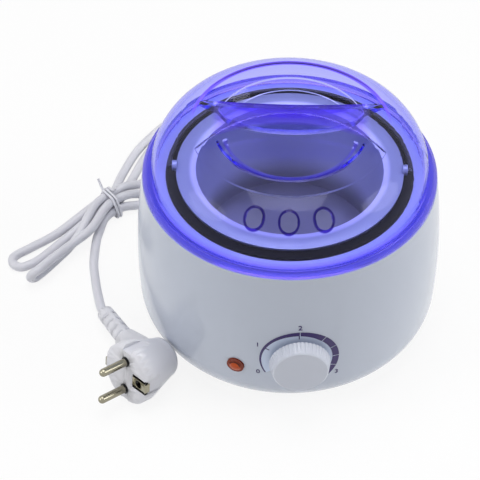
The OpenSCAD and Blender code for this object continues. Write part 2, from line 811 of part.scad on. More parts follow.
module lid() {
    color("slateblue", 0.5) translate([0, 0, lid_z]) rotate([0, 0, lid_turn]) difference() {
        union() {
            rotate_extrude($fn = 180) {
                intersection() {
                    lid_region(0);
                    square([lid_r, 2 * crown_h]);
                }
                square([lid_r, flange_t]);
                square([step_r, step_h]);
            }
            span(crown_h - 1, crown_h + gate_h, gate_r, $fn = 32);
        }
        hollow_space(0);
        difference() {
            rotate_extrude($fn = 180) intersection() {
                lid_region(lid_t);
                translate([0, -1]) square([lid_r, 2 * crown_h]);
            }
            hollow_space(lid_t);
        }
        span(-joint, recess_h, spigot_r + 2 * rest_gap, $fn = 180);
        for (i = [-1:1]) for (s = [-1, 1]) rotate([0, 0, i * vent_step])
            translate([0, -vent_r, vent_z]) rotate([90 - vent_lean, 0, 0])
                translate([0, s * (vent_l - vent_w) / 2, 0]) span(-4 * lid_t, 3 * lid_t, vent_w / 2);
    }
}

// Route through keys: a smooth curve that passes each key and never dips below the table
function lerp_key(k, i) = i < 0 ? 2 * k[0] - k[1] : i >= len(k) ? 2 * k[len(k) - 1] - k[len(k) - 2] : k[i];
function curve(a, b, c, d, t) =
    0.5 * (2 * b + (c - a) * t + (2 * a - 5 * b + 4 * c - d) * t * t + (3 * b - a - 3 * c + d) * t * t * t);
function settle(p, low) = [p.x, p.y, max(p.z, low)];
function route_over(k, n, low) = [
    for (i = [0:len(k) - 2]) for (j = [0:n - 1])
        settle(curve(lerp_key(k, i - 1), k[i], k[i + 1], lerp_key(k, i + 2), j / n), low),
    k[len(k) - 1]
];
function route(k, n) = route_over(k, n, lay_z);

// Tube swept along a route, its rings carried on without twist
function unit(v) = v / norm(v);
function heading(p, i) = unit(p[min(i + 1, len(p) - 1)] - p[max(i - 1, 0)]);
function square_to(v, t) = unit(v - (v * t) * t);
function side_of(t) = unit(cross(t, [0, 0, 1]));
function sides(p) = [
    for (i = 0, s = side_of(heading(p, 0)); i < len(p);
        i = i + 1, s = i < len(p) ? square_to(s, heading(p, i)) : s) s
];
module tube(p, r, n) {
    s = sides(p);
    points = [
        for (i = [0:len(p) - 1]) let (t = heading(p, i), u = cross(s[i], t))
            for (a = [0:n - 1]) p[i] + r * (cos(360 * a / n) * s[i] + sin(360 * a / n) * u)
    ];
    last = len(p) - 1;
    faces = concat(
        [for (a = [1:n - 2]) [0, a, a + 1]],
        [for (i = [0:last - 1]) for (a = [0:n - 1]) let (b = (a + 1) % n)
            [i * n + a, (i + 1) * n + a, i * n + b]],
        [for (i = [0:last - 1]) for (a = [0:n - 1]) let (b = (a + 1) % n)
            [i * n + b, (i + 1) * n + a, (i + 1) * n + b]],
        [for (a = [1:n - 2]) [last * n, last * n + a + 1, last * n + a]]);
    polyhedron(points = points, faces = faces);
}

// Place on the bundle: along it, across it, and height above the table
function at_tie(u, v, z) = [
    tie_at.x + u * cos(tie_turn) - v * sin(tie_turn),
    tie_at.y + u * sin(tie_turn) + v * cos(tie_turn),
    z
];

// Place on the plug, turned and moved as at_plug does
function roll_x(p, a) = [p.x, p.y * cos(a) - p.z * sin(a), p.y * sin(a) + p.z * cos(a)];
function roll_y(p, a) = [p.x * cos(a) + p.z * sin(a), p.y, p.z * cos(a) - p.x * sin(a)];
function roll_z(p, a) = [p.x * cos(a) - p.y * sin(a), p.x * sin(a) + p.y * cos(a), p.z];
function on_plug(p) = plug_at + roll_z(roll_y(roll_x(p, plug_roll), -plug_tilt), plug_yaw);
function on_neck(d) = on_plug([neck_x - d * sin(neck_turn), -d * cos(neck_turn), 0]);

// Far loop behind the housing, from the lower run round to the upper one
function far_loop(inset) = [
    for (a = [-90:45:90])
        at_tie(loop_at.x + (loop_reach - inset) * cos(a), loop_at.y + (loop_half - inset) * sin(a), lay_z)
];
// Folds at the near end: one lies flat, the other stands on edge
function flat_fold() = [
    for (a = [90:45:270]) at_tie(fold_a.x + fold_r * cos(a), fold_a.y + fold_r * sin(a), lay_z)
];
function edge_fold() = [
    for (a = [90:45:270])
        at_tie(fold_b.x + fold_b_r * cos(a), fold_b.y - fold_b_r * sin(a) * cos(fold_b_lean),
            fold_b.z + fold_b_r * sin(a) * sin(fold_b_lean))
];
function turned(k) = [for (i = [len(k) - 1:-1:0]) k[i]];

hank_keys = concat(
    [at_tie(0, -slot, low_z), at_tie(6, -slot, low_z), at_tie(20, -9.5, lay_z), at_tie(50, -11.6, lay_z)],
    far_loop(0),
    [at_tie(50, 38, lay_z), at_tie(24, 22.6, lay_z), at_tie(8, 8.8, low_z), at_tie(0, slot, low_z)],
    [at_tie(-8, 5.8, low_z), at_tie(-40, -0.6, lay_z), at_tie(-60, -1.8, lay_z)],
    flat_fold(),
    [at_tie(-60, -13.4, lay_z), at_tie(-40, -8.2, lay_z), at_tie(-10, -0.8, low_z), at_tie(0, 0, low_z)],
    [at_tie(8, 1.2, low_z), at_tie(26, 14.6, lay_z), at_tie(52, 31, lay_z)],
    turned(far_loop(nest)),
    [at_tie(50, -4.8, lay_z), at_tie(26, -3, lay_z + 0.6), at_tie(12, -3.4, high_z - 0.7)],
    [at_tie(0, -slot / 2, high_z), at_tie(-10, -7.2, high_z + 0.2), at_tie(-25, -16.4, high_z)],
    [at_tie(-42, -20.8, high_z), at_tie(-60, -26, 12)],
    edge_fold(),
    [at_tie(-60, -22.4, lay_z), at_tie(-44, -16.8, lay_z), at_tie(-32, -12.6, 6)],
    [at_tie(-22, -7, high_z - 0.4), at_tie(-10, 0.6, high_z + 0.3), at_tie(0, slot / 2, high_z)]);
hank_route = route(hank_keys, 5);
hank_steps = [for (i = 0, s = 0; i < len(hank_route);
    s = s + (i + 1 < len(hank_route) ? norm(hank_route[i + 1] - hank_route[i]) : 0), i = i + 1) s];
function route_length(i, j) = hank_steps[j] - hank_steps[i];
hank_gap = min([
    for (i = [0:len(hank_route) - 1]) for (j = [i + 1:1:len(hank_route) - 1])
        let (run_on = route_length(i, j)) if (run_on > 3 * cord_d) norm(hank_route[i] - hank_route[j])
]) - cord_d;
echo(hank_least_gap = hank_gap, hank_length = hank_steps[len(hank_steps) - 1]);

tail_keys = [on_neck(relief_end), on_neck(relief_end + cord_d), [-113, 6, 5], [-114.6, 20, 3],
    [-115.7, 36, lay_z], [-114.2, 54, lay_z], at_tie(-19, -15.4, lay_z), at_tie(-12, -9.8, low_z),
    at_tie(-6, -6.6, low_z), at_tie(0, -slot, low_z)];
lead_keys = [at_tie(0, slot / 2, high_z), at_tie(6, slot / 2, high_z), at_tie(14, 3.4, high_z + 0.2),
    at_tie(27, 4.2, 6), at_tie(45, 12, lay_z), [-54, 134, lay_z], [-26, 146, 5.5], [-5, 138, 13],
    [0, 118, 20.5], lead_end + [0, cord_d, 0], lead_end];

module cord_lead() { color("whitesmoke") tube(route(lead_keys, 3), cord_r, 10); }
module cord_hank() { color("whitesmoke") tube(hank_route, cord_r, 6); }
module cord_tail() { color("whitesmoke") tube(route(tail_keys, 3), cord_r, 10); }

// Wire tie, wound round the stack at the waist: three keys on each corner's arc, ends turned up
tie_stack = [[slot / 2, high_z], [-slot / 2, high_z], [-slot, low_z], [slot, low_z]];
tie_round = cord_r + tie_slack + tie_d / 2;
function edge_turn(i) = let (e = tie_stack[(i + 1) % 4] - tie_stack[i % 4]) atan2(e.y, e.x) - 90;
function corner_turn(i, share) =
    let (from = edge_turn(i + 3)) from + share * ((edge_turn(i) - from + 720) % 360);
function tie_key(i, share) =
    let (c = tie_stack[i % 4], turn = corner_turn(i, share))
        at_tie((i + 0.3 * share) / 4 * tie_pitch - tie_half,
            c.x + tie_round * cos(turn), c.y + tie_round * sin(turn));
tie_half = tie_turns * tie_pitch / 2;
tie_top = high_z + tie_round;
tie_keys = concat(
    [at_tie(-tie_half, slot / 2 + tie_tail + 1, tie_top + tie_tail)],
    [at_tie(-tie_half, slot / 2 + 2.5, tie_top + 0.9), tie_key(0, 1)],
    [for (i = [1:4 * tie_turns]) for (share = [0, 0.5, 1]) tie_key(i, share)],
    [at_tie(tie_half + 0.2, slot / 2 - 3, tie_top + 1)],
    [at_tie(tie_half + 0.2, slot / 2 - tie_tail - 1, tie_top + tie_tail)]);

module cord_tie() { color("white") tube(route_over(tie_keys, 2, tie_d / 2), tie_d / 2, 6); }

// Half section of the plug's body along its axis, with the face at height 0
module plug_section() {
    back_z = -plug_l + plug_back_edge;
    polygon([[0, 0], [plug_r - plug_edge, 0], [plug_r, -plug_edge], [plug_r, -plug_front_l],
        [plug_back_r, back_z], [0, back_z]]);
    intersection() {
        translate([plug_back_r - plug_back_edge, back_z]) circle(r = plug_back_edge, $fn = 64);
        translate([0, -plug_l]) square([plug_back_r, plug_l]);
    }
    translate([0, -plug_l]) square([plug_back_r - plug_back_edge, plug_l]);
}

module plug_body() {
    rib_step = (relief_end - neck_l) / (relief_ribs + 0.5);
    color("white") at_plug() difference() {
        union() {
            along_pins() rotate_extrude() plug_section();
            at_neck() translate([0, 0, 4]) cylinder(h = neck_l - 4, r1 = neck_r, r2 = neck_tip_r);
            at_neck() translate([0, 0, neck_l - joint])
                cylinder(h = relief_end - neck_l + joint, r1 = relief_r, r2 = relief_tip_r);
        }
        for (i = [0:relief_ribs - 1]) at_neck() translate([0, 0, neck_l + (i + 0.3) * rib_step])
            difference() {
                span(0, relief_gap, neck_r);
                span(-joint, relief_gap + joint, cord_r + 1.2);
                block([-1.1, -neck_r, -joint], [1.1, neck_r, relief_gap + joint]);
            }
        for (s = [-1, 1]) block_mirror(s) block([-clip_l, clip_y, -clip_w / 2 - slip],
            [joint, plug_r + joint, clip_w / 2 + slip]);
        for (s = [-1, 1]) translate([0, 0, s * pin_pitch / 2]) along_pins()
            span(-pin_root, joint, pin_d / 2 + slip);
    }
}
module block_mirror(s) { if (s > 0) children(); else mirror([0, 1, 0]) children(); }

module plug_pins() {
    color("silver") at_plug() for (s = [-1, 1]) translate([0, 0, s * pin_pitch / 2]) along_pins() {
        span(-pin_root, pin_l - pin_d / 2, pin_d / 2);
        translate([0, 0, pin_l - pin_d / 2]) sphere(d = pin_d, $fn = 48);
        span(0, pin_collar_h, pin_collar_r);
    }
}

// Spring strips in the plug's flanks, each with a pressed hole
module plug_clips() {
    color("silver") at_plug() for (s = [-1, 1]) block_mirror(s) difference() {
        block([-clip_l, clip_y, -clip_w / 2], [0, clip_y + clip_t, clip_w / 2]);
        translate([-clip_l / 2, clip_y - joint, 0]) rotate([-90, 0, 0])
            span(0, clip_t + 2 * joint, clip_hole_r);
    }
}

housing();
base_plate();
base_screws();
feet();
collar();
heater_bowl();
small_screws();
heater_band();
insulation_jacket();
thermal_fuse();
fuse_clip();
thermostat();
thermostat_nut();
thermostat_shaft();
knob();
lamp_lens();
lamp_nut();
lamp_bulb();
terminal_block();
cord_clamp();
cord_gland();
inner_lead();
pot();
bail();
lid();
cord_lead();
cord_hank();
cord_tail();
cord_tie();
plug_body();
plug_pins();
plug_clips();
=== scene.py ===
"""Looks of a table-top wax warmer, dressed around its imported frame.

Finishes are sized in metres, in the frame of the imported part: +Z up, the dial towards -Y.
The plug, the lead and the dial's print are drawn in millimetres.
"""
import logging
import math
from collections.abc import Callable, Iterator
from contextlib import contextmanager
from dataclasses import dataclass
from enum import Enum
from functools import reduce

import bpy
from mathutils import Matrix, Vector


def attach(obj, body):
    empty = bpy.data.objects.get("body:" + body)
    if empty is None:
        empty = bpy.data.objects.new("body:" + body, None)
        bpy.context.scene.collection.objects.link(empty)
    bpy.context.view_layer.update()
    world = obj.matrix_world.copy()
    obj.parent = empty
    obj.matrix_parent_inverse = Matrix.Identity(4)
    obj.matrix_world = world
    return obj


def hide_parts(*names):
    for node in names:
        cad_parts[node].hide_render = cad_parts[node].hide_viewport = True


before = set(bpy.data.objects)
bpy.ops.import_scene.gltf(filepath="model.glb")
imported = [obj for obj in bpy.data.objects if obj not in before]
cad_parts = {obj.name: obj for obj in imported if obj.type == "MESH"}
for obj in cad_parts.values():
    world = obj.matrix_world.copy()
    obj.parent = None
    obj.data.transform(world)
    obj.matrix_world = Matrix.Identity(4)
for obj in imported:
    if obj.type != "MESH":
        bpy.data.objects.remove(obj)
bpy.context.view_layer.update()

LOG = logging.getLogger("wax_warmer")
MM = 0.001
SMOOTH_BELOW = math.radians(32.0)
# Cosine from which a face counts as square on, and directions of the keys on a half turn
SQUARE_ON = 0.9
HALF_TURN = range(0, 181, 45)
WHITE = (1.0, 1.0, 1.0)
BLACK = (0.0, 0.0, 0.0)

Piece = bpy.types.Object
Material = bpy.types.Material
Node = bpy.types.Node
Socket = bpy.types.NodeSocket
Outputs = bpy.types.NodeOutputs
Tree = bpy.types.NodeTree
Rgb = tuple[float, float, float]
Spot = tuple[float, float, float]
Span = tuple[float, float]
Feed = object
Feeds = dict[str | int, Feed]
Band = Callable[[float], Span]


class Effect(Enum):
    """Shader groups that several finishes share."""

    MOULDED = "moulded_skin"
    SPUN = "spun_metal"
    DRAWN = "drawn_metal"
    WOVEN = "woven_fibre"
    SCUFF = "scuff_marks"


def deselect() -> None:
    """Clear the selection, so that an operator acts on one piece only."""
    if bpy.context.object and bpy.context.object.mode != "OBJECT":
        bpy.ops.object.mode_set(mode="OBJECT")
    bpy.ops.object.select_all(action="DESELECT")


def make_active(piece: Piece) -> None:
    """Select one piece alone and make it the active one."""
    deselect()
    piece.select_set(True)
    bpy.context.view_layer.objects.active = piece


def settle_place(piece: Piece) -> None:
    """Move a piece's place into its mesh, so that its object sits at the origin."""
    make_active(piece)
    bpy.ops.object.transform_apply(location=True, rotation=True, scale=True)


@contextmanager
def editing(piece: Piece, everything: bool = True) -> Iterator[None]:
    """Open a piece in edit mode, and close it again.

    Args:
        piece: the piece to work on.
        everything: whether all of it is selected at first.
    """
    make_active(piece)
    bpy.ops.object.mode_set(mode="EDIT")
    if everything:
        bpy.ops.mesh.select_all(action="SELECT")
    yield
    bpy.ops.object.mode_set(mode="OBJECT")


def add_piece(name: str, primitive: Callable[..., object], **sizes: object) -> Piece:
    """Add a primitive to work on.

    Args:
        name: the piece's name.
        primitive: the operator that adds it.
        sizes: the operator's settings.

    Returns:
        The piece, with its place in its mesh.
    """
    deselect()
    primitive(**sizes)
    piece = bpy.context.object
    piece.name = name
    settle_place(piece)
    return piece


def work(piece: Piece, kind: str, **settings: object) -> None:
    """Put a modifier on a piece and apply it.

    Args:
        piece: the piece to change.
        kind: the modifier's type.
        settings: the modifier's settings.
    """
    make_active(piece)
    step = piece.modifiers.new(kind.lower(), kind)
    for name, value in settings.items():
        setattr(step, name, value)
    bpy.ops.object.modifier_apply(modifier=step.name)


def fit(piece: Piece, material: Material, slot: str, *nodes: str) -> None:
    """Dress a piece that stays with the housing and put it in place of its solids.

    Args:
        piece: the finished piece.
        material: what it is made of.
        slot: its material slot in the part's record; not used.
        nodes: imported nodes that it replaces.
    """
    piece.data.materials.clear()
    piece.data.materials.append(material)
    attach(piece, "housing")
    if nodes:
        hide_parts(*nodes)


class Graph:
    """Adds nodes to one node tree and joins them.

    Args:
        tree: the node tree of a material, a group or the world.
    """

    def __init__(self, tree: Tree) -> None:
        """Keep the tree that the nodes go into."""
        self.tree = tree

    def feed(self, node: Node, feeds: Feeds) -> None:
        """Link sockets to a node's inputs, or set constants on them.

        Args:
            node: the node that takes them.
            feeds: a socket or a constant for each input, by name or index.
        """
        for key, feed in feeds.items():
            if isinstance(feed, Socket):
                self.tree.links.new(feed, node.inputs[key])
            else:
                node.inputs[key].default_value = feed

    def put(self, kind: str, feeds: Feeds | None = None, **settings: object) -> Node:
        """Add a node, set its options and feed its inputs.

        Args:
            kind: the node's type name.
            feeds: what goes into its inputs.
            settings: options of the node.

        Returns:
            The new node.
        """
        node = self.tree.nodes.new(kind)
        for name, value in settings.items():
            setattr(node, name, value)
        self.feed(node, feeds or {})
        return node

    def math(self, operation: str, *values: Feed) -> Socket:
        """Add a Math node and return its value."""
        return self.put("ShaderNodeMath", dict(enumerate(values)), operation=operation).outputs[0]

    def both(self, *masks: Feed) -> Socket:
        """Return where all of some masks hold."""
        return reduce(lambda a, b: self.math("MULTIPLY", a, b), masks)

    def either(self, *masks: Feed) -> Socket:
        """Return where any of some masks holds."""
        return reduce(lambda a, b: self.math("MAXIMUM", a, b), masks)

    def vector(self, operation: str, *values: Feed) -> Node:
        """Add a Vector Math node."""
        return self.put("ShaderNodeVectorMath", dict(enumerate(values)), operation=operation)

    def dot(self, first: Feed, second: Feed) -> Socket:
        """Return the dot product of two vectors."""
        return self.vector("DOT_PRODUCT", first, second).outputs["Value"]

    def length(self, *parts: Feed) -> Socket:
        """Return the length of a vector given by its parts."""
        line = self.put("ShaderNodeCombineXYZ", dict(enumerate(parts)))
        return self.vector("LENGTH", line.outputs[0]).outputs["Value"]

    def parts(self, place: Feed) -> Outputs:
        """Return the three parts of a vector."""
        return self.put("ShaderNodeSeparateXYZ", {0: place}).outputs

    def ramp(self, value: Feed, low: float, high: float) -> Socket:
        """Return a smooth rise from 0 at one value to 1 at another."""
        feeds = {"Value": value, 1: low, 2: high}
        return self.put("ShaderNodeMapRange", feeds, interpolation_type="SMOOTHSTEP").outputs[0]

    def between(self, value: Feed, span: Span, soft: float) -> Socket:
        """Return 1 where a value lies in a span, with soft edges."""
        low, high = span
        return self.both(self.ramp(value, low, low + soft), self.ramp(value, high + soft, high))

    def mix(self, share: Feed, first: Feed, second: Feed) -> Socket:
        """Mix two colours and return the colour."""
        first, second = (c if isinstance(c, Socket) else (*c, 1.0) for c in (first, second))
        return self.put("ShaderNodeMix", {0: share, 6: first, 7: second}, data_type="RGBA").outputs[2]

    def noise(self, place: Feed, scale: Feed, detail: float = 3.0, rough: float = 0.55) -> Socket:
        """Add a Noise texture and return its value."""
        feeds = {"Vector": place, "Scale": scale, "Detail": detail, "Roughness": rough}
        return self.put("ShaderNodeTexNoise", feeds).outputs[0]

    def place(self) -> Socket:
        """Return the object coordinates."""
        return self.put("ShaderNodeTexCoord").outputs["Object"]


Group = tuple[Graph, dict[str, Socket], Node]
Patterns = tuple[Socket, Socket, Socket]


class Effects:
    """Shader groups that more than one finish uses, each built once.

    The methods named after surfaces return the patterns of tone, polish and height.
    """

    built: dict[Effect, Tree] = {}
    # Scales of the slow patterns, directions of the long ones and edges of the marks
    flow, uneven, cloud, pits, fluff, patch = 14.0, 55.0, 24.0, 60.0, 90.0, 30.0
    streak_way: Spot = (1.0, 1.0, 0.08)
    scratch_way: Spot = (1.0, 0.16, 0.3)
    scratch_edge: Span = (0.66, 0.76)
    patch_edge: Span = (0.5, 0.72)
    weave_r: float = 0.06
    fine_share: float = 0.6

    @classmethod
    def use(cls, graph: Graph, effect: Effect, feeds: Feeds) -> Outputs:
        """Put an effect into a material, and build its group on first use.

        Args:
            graph: graph of the material.
            effect: which effect is wanted.
            feeds: what goes into the group's inputs.

        Returns:
            The group's outputs.
        """
        if effect not in cls.built:
            cls.built[effect] = cls.marks() if effect is Effect.SCUFF else cls.surface(effect)
        return graph.put("ShaderNodeGroup", feeds, node_tree=cls.built[effect]).outputs

    @staticmethod
    def start(name: str, takes: tuple[str, ...], gives: tuple[str, ...]) -> Group:
        """Make an empty group with named sockets.

        Args:
            name: the group's name.
            takes: names of its inputs.
            gives: names of its outputs.

        Returns:
            The group's graph, the input sockets by name and the output node.
        """
        tree = bpy.data.node_groups.new(name, "ShaderNodeTree")
        for side, labels in (("INPUT", takes), ("OUTPUT", gives)):
            for label in labels:
                kind = "NodeSocketColor" if label == "Color" else "NodeSocketFloat"
                tree.interface.new_socket(label, in_out=side, socket_type=kind)
        graph = Graph(tree)
        source = graph.put("NodeGroupInput")
        return graph, {label: source.outputs[label] for label in takes}, graph.put("NodeGroupOutput")

    @classmethod
    def surface(cls, effect: Effect) -> Tree:
        """Build a group that turns a colour and a roughness into a worked surface.

        Args:
            effect: which surface is wanted.

        Returns:
            The finished group.
        """
        takes = ("Color", "Shift", "Roughness", "Spread", "Grain")
        graph, take, out = cls.start(effect.value, takes, ("Color", "Roughness", "Height"))
        draw = getattr(cls, effect.name.lower())
        tone, polish, height = draw(graph, graph.place(), take["Grain"])
        gain = graph.math("MULTIPLY_ADD", graph.math("SUBTRACT", tone, 0.5), take["Shift"], 1.0)
        uneven = graph.math("SUBTRACT", polish, 0.5)
        color = graph.put("ShaderNodeVectorMath", {0: take["Color"], "Scale": gain}, operation="SCALE")
        graph.feed(out, {
            "Color": color.outputs[0],
            "Roughness": graph.math("MULTIPLY_ADD", uneven, take["Spread"], take["Roughness"]),
            "Height": height,
        })
        return graph.tree

    @classmethod
    def blend(cls, graph: Graph, fine: Feed, slow: Feed) -> Socket:
        """Return a mix of a fine and a slow pattern."""
        rest = graph.math("MULTIPLY", slow, 1.0 - cls.fine_share)
        return graph.math("MULTIPLY_ADD", fine, cls.fine_share, rest)

    @classmethod
    def moulded(cls, graph: Graph, place: Socket, grain: Socket) -> Patterns:
        """Moulded plastic: slow flow marks, uneven polish and a fine orange-peel skin."""
        skin = graph.noise(place, grain, 2.0, 0.4)
        return graph.noise(place, cls.flow, 2.0), graph.noise(place, cls.uneven, 4.0), skin

    @classmethod
    def spun(cls, graph: Graph, place: Socket, grain: Socket) -> Patterns:
        """Spun sheet metal: rings round the Z axis, with a slow cloud of polish."""
        x, y, z = graph.parts(place)
        ring = graph.put("ShaderNodeCombineXYZ", {0: graph.length(x, y), 1: z}).outputs[0]
        lines, cloud = graph.noise(ring, grain, 4.0, 0.7), graph.noise(place, cls.cloud)
        return cloud, cls.blend(graph, lines, cloud), lines

    @classmethod
    def drawn(cls, graph: Graph, place: Socket, grain: Socket) -> Patterns:
        """Drawn or plated metal: streaks along Z and small pits."""
        stretch = graph.vector("MULTIPLY", place, cls.streak_way).outputs[0]
        streaks = graph.noise(stretch, grain, 4.0, 0.6)
        return graph.noise(place, cls.pits), streaks, streaks

    @classmethod
    def woven(cls, graph: Graph, place: Socket, grain: Socket) -> Patterns:
        """Woven fibre wrapped round the Z axis: crossing rows of raised threads."""
        x, y, z = graph.parts(place)
        around = graph.math("MULTIPLY", graph.math("ARCTAN2", y, x), cls.weave_r)
        warp, weft = (graph.math("SINE", graph.math("MULTIPLY", way, grain)) for way in (around, z))
        weave = graph.math("MULTIPLY_ADD", graph.math("MULTIPLY", warp, weft), 0.5, 0.5)
        return cls.blend(graph, graph.noise(place, cls.fluff), weave), weave, weave

    @classmethod
    def marks(cls) -> Tree:
        """Build the group of handling marks: sparse thin scratches in dull patches, as a mask.

        Returns:
            The finished group.
        """
        graph, take, out = cls.start(Effect.SCUFF.value, ("Amount", "Scale"), ("Mask",))
        place = graph.place()
        long = graph.vector("MULTIPLY", place, cls.scratch_way).outputs[0]
        lines = graph.ramp(graph.noise(long, take["Scale"], 5.0, 0.7), *cls.scratch_edge)
        patch = graph.ramp(graph.noise(place, cls.patch), *cls.patch_edge)
        graph.feed(out, {"Mask": graph.both(lines, patch, take["Amount"])})
        return graph.tree


def new_material(name: str) -> tuple[Material, Graph, Node]:
    """Start a material and return it with its graph and its Principled shader."""
    material = bpy.data.materials.new(name)
    material.use_nodes = True
    return material, Graph(material.node_tree), material.node_tree.nodes["Principled BSDF"]


@dataclass(frozen=True)
class Finish:
    """An opaque finish: colour, polish and the worked surface below them."""

    name: str
    color: Rgb
    rough: float
    skin: Effect = Effect.MOULDED
    shift: float = 0.05
    spread: float = 0.08
    grain: float = 900.0
    relief: float = 0.00002
    bump: float = 0.6
    metallic: float = 0.0
    coat: float = 0.0
    coat_rough: float = 0.08
    scuffs: float = 0.2
    scuff_scale: float = 420.0
    specular: float = 0.5

    def areas(self, graph: Graph, worked: Outputs) -> Feeds:
        """Return what areas of their own put into the shader: nothing on a plain finish.

        Args:
            graph: graph of the material.
            worked: outputs of the surface group.

        Returns:
            Feeds of the shader, in place of the plain ones.
        """
        return {}

    def make(self) -> Material:
        """Return the finished material."""
        material, graph, shader = new_material(self.name)
        worked = Effects.use(graph, self.skin, {
            "Color": (*self.color, 1.0), "Shift": self.shift, "Roughness": self.rough,
            "Spread": self.spread, "Grain": self.grain,
        })
        marks = Effects.use(graph, Effect.SCUFF, {"Amount": self.scuffs, "Scale": self.scuff_scale})
        relief = {"Height": worked["Height"], "Strength": self.bump, "Distance": self.relief}
        graph.feed(shader, {
            "Base Color": worked["Color"],
            "Roughness": graph.math("ADD", worked["Roughness"], marks["Mask"]),
            "Normal": graph.put("ShaderNodeBump", relief).outputs[0],
            "Metallic": self.metallic,
            "Coat Weight": self.coat,
            "Coat Roughness": self.coat_rough,
            "Specular IOR Level": self.specular,
            **self.areas(graph, worked),
        })
        return material


@dataclass(frozen=True)
class RoundMask:
    """A round area about an axis, such as a lens or a collar."""

    centre: Spot = (0.0, 0.0, 0.0)
    axis: Spot = (0.0, 0.0, 1.0)

    def offset(self, graph: Graph) -> Socket:
        """Return where a point lies from the area's centre."""
        return graph.vector("SUBTRACT", graph.place(), self.centre).outputs[0]

    def radius(self, graph: Graph) -> Socket:
        """Return the distance of a point from the axis."""
        across = graph.vector("CROSS_PRODUCT", self.offset(graph), self.axis).outputs[0]
        return graph.vector("LENGTH", across).outputs["Value"]

    def along(self, graph: Graph) -> Socket:
        """Return how far along the axis a point lies."""
        return graph.dot(self.offset(graph), self.axis)


UPRIGHT = RoundMask()


@dataclass(frozen=True)
class HousingFinish(Finish):
    """Glossy moulding with a paler, bluer deck under the lid: painted light that stands in for the light
    reaching the deck through the violet lid.
    """

    # Painted light: the deck under the lid is painted paler and bluer, standing in for light through the lid.
    deck_painted_light: Rgb = (0.88, 0.92, 1.0)
    deck_r: Span = (0.0772, 0.0778)
    deck_z: Span = (0.0975, 0.0985)

    def areas(self, graph: Graph, worked: Outputs) -> Feeds:
        """Return the deck's colour: painted light, paler and bluer than the housing."""
        inner = graph.ramp(UPRIGHT.radius(graph), *reversed(self.deck_r))
        deck = graph.both(inner, graph.ramp(UPRIGHT.along(graph), *self.deck_z))
        return {"Base Color": graph.mix(deck, worked["Color"], self.deck_painted_light)}


@dataclass(frozen=True)
class PotFinish(Finish):
    """Spun pot with painted shade: its rim and floor are painted darker than its wall, and its rim is also
    rougher.
    """

    # Painted shade: the rim is painted darker, in place of the highlight on the rolled rim.
    rim_color: Rgb = (0.37, 0.41, 0.5)
    rim_rough: float = 0.46
    rim_r: Span = (0.0545, 0.0575)
    # Painted shade: the pot's floor is painted darker, as the shade at the bottom of the pot.
    floor_painted_shade: Rgb = (0.24, 0.24, 0.26)
    floor_z: Span = (0.054, 0.074)
    under_z: Span = (0.0515, 0.0519)
    wall_r: float = 0.0462
    wall_lean: float = 0.0655
    wall_soft: float = 0.0002

    def areas(self, graph: Graph, worked: Outputs) -> Feeds:
        """Return the painted shade of rim and floor, and the rim's polish."""
        radius, height = UPRIGHT.radius(graph), UPRIGHT.along(graph)
        rim = graph.ramp(radius, *self.rim_r)
        wall = graph.math("MULTIPLY_ADD", height, self.wall_lean, self.wall_r)
        inside = graph.ramp(graph.math("SUBTRACT", radius, wall), self.wall_soft, -self.wall_soft)
        above = graph.ramp(height, *self.under_z)
        # Mask of the pot's floor, where the painted shade goes.
        low = graph.both(inside, above, graph.ramp(height, *reversed(self.floor_z)))
        color = graph.mix(low, worked["Color"], self.floor_painted_shade)
        return {
            # Painted shade on the rim.
            "Base Color": graph.mix(rim, color, self.rim_color),
            "Roughness": graph.math("MULTIPLY_ADD", rim, self.rim_rough - self.rough, worked["Roughness"]),
        }


@dataclass(frozen=True)
class LensFinish(Finish):
    """The pilot lamp: a bright cap inside a darker rim, with painted shadow on the upper part of the ring
    round the cap.
    """

    mask: RoundMask = UPRIGHT
    step_r: float = 0.0025
    cap_r: float = 0.0031
    rim_r: float = 0.0041
    rim_color: Rgb = (0.2, 0.026, 0.008)
    # Painted shadow: the ring round the cap is painted dark on its upper side only, as shade falling from
    # above.
    step_painted_shadow: Rgb = (0.05, 0.006, 0.003)
    step_up: Span = (-0.001, 0.0015)

    def areas(self, graph: Graph, worked: Outputs) -> Feeds:
        """Return the colour of the rim, and the painted shadow on the step."""
        reach = self.mask.radius(graph)
        color = graph.mix(graph.ramp(reach, self.cap_r, self.rim_r), worked["Color"], self.rim_color)
        ring = graph.both(
            graph.ramp(reach, self.step_r, self.cap_r), graph.ramp(reach, self.rim_r, self.cap_r)
        )
        height = graph.parts(graph.place())[2]
        # Painted shadow only above the lamp's middle.
        above = graph.ramp(height, *(self.mask.centre[2] + up for up in self.step_up))
        return {"Base Color": graph.mix(graph.both(ring, above), color, self.step_painted_shadow)}


@dataclass(frozen=True)
class PinFinish(Finish):
    """Plated pins with a dark insulating collar at the plug's face."""

    mask: RoundMask = UPRIGHT
    collar_h: Span = (0.0012, 0.0013)
    collar_color: Rgb = (0.012, 0.012, 0.014)

    def areas(self, graph: Graph, worked: Outputs) -> Feeds:
        """Return the collar's colour, and metal outside it."""
        bare = graph.ramp(self.mask.along(graph), *self.collar_h)
        return {"Base Color": graph.mix(bare, self.collar_color, worked["Color"]), "Metallic": bare}


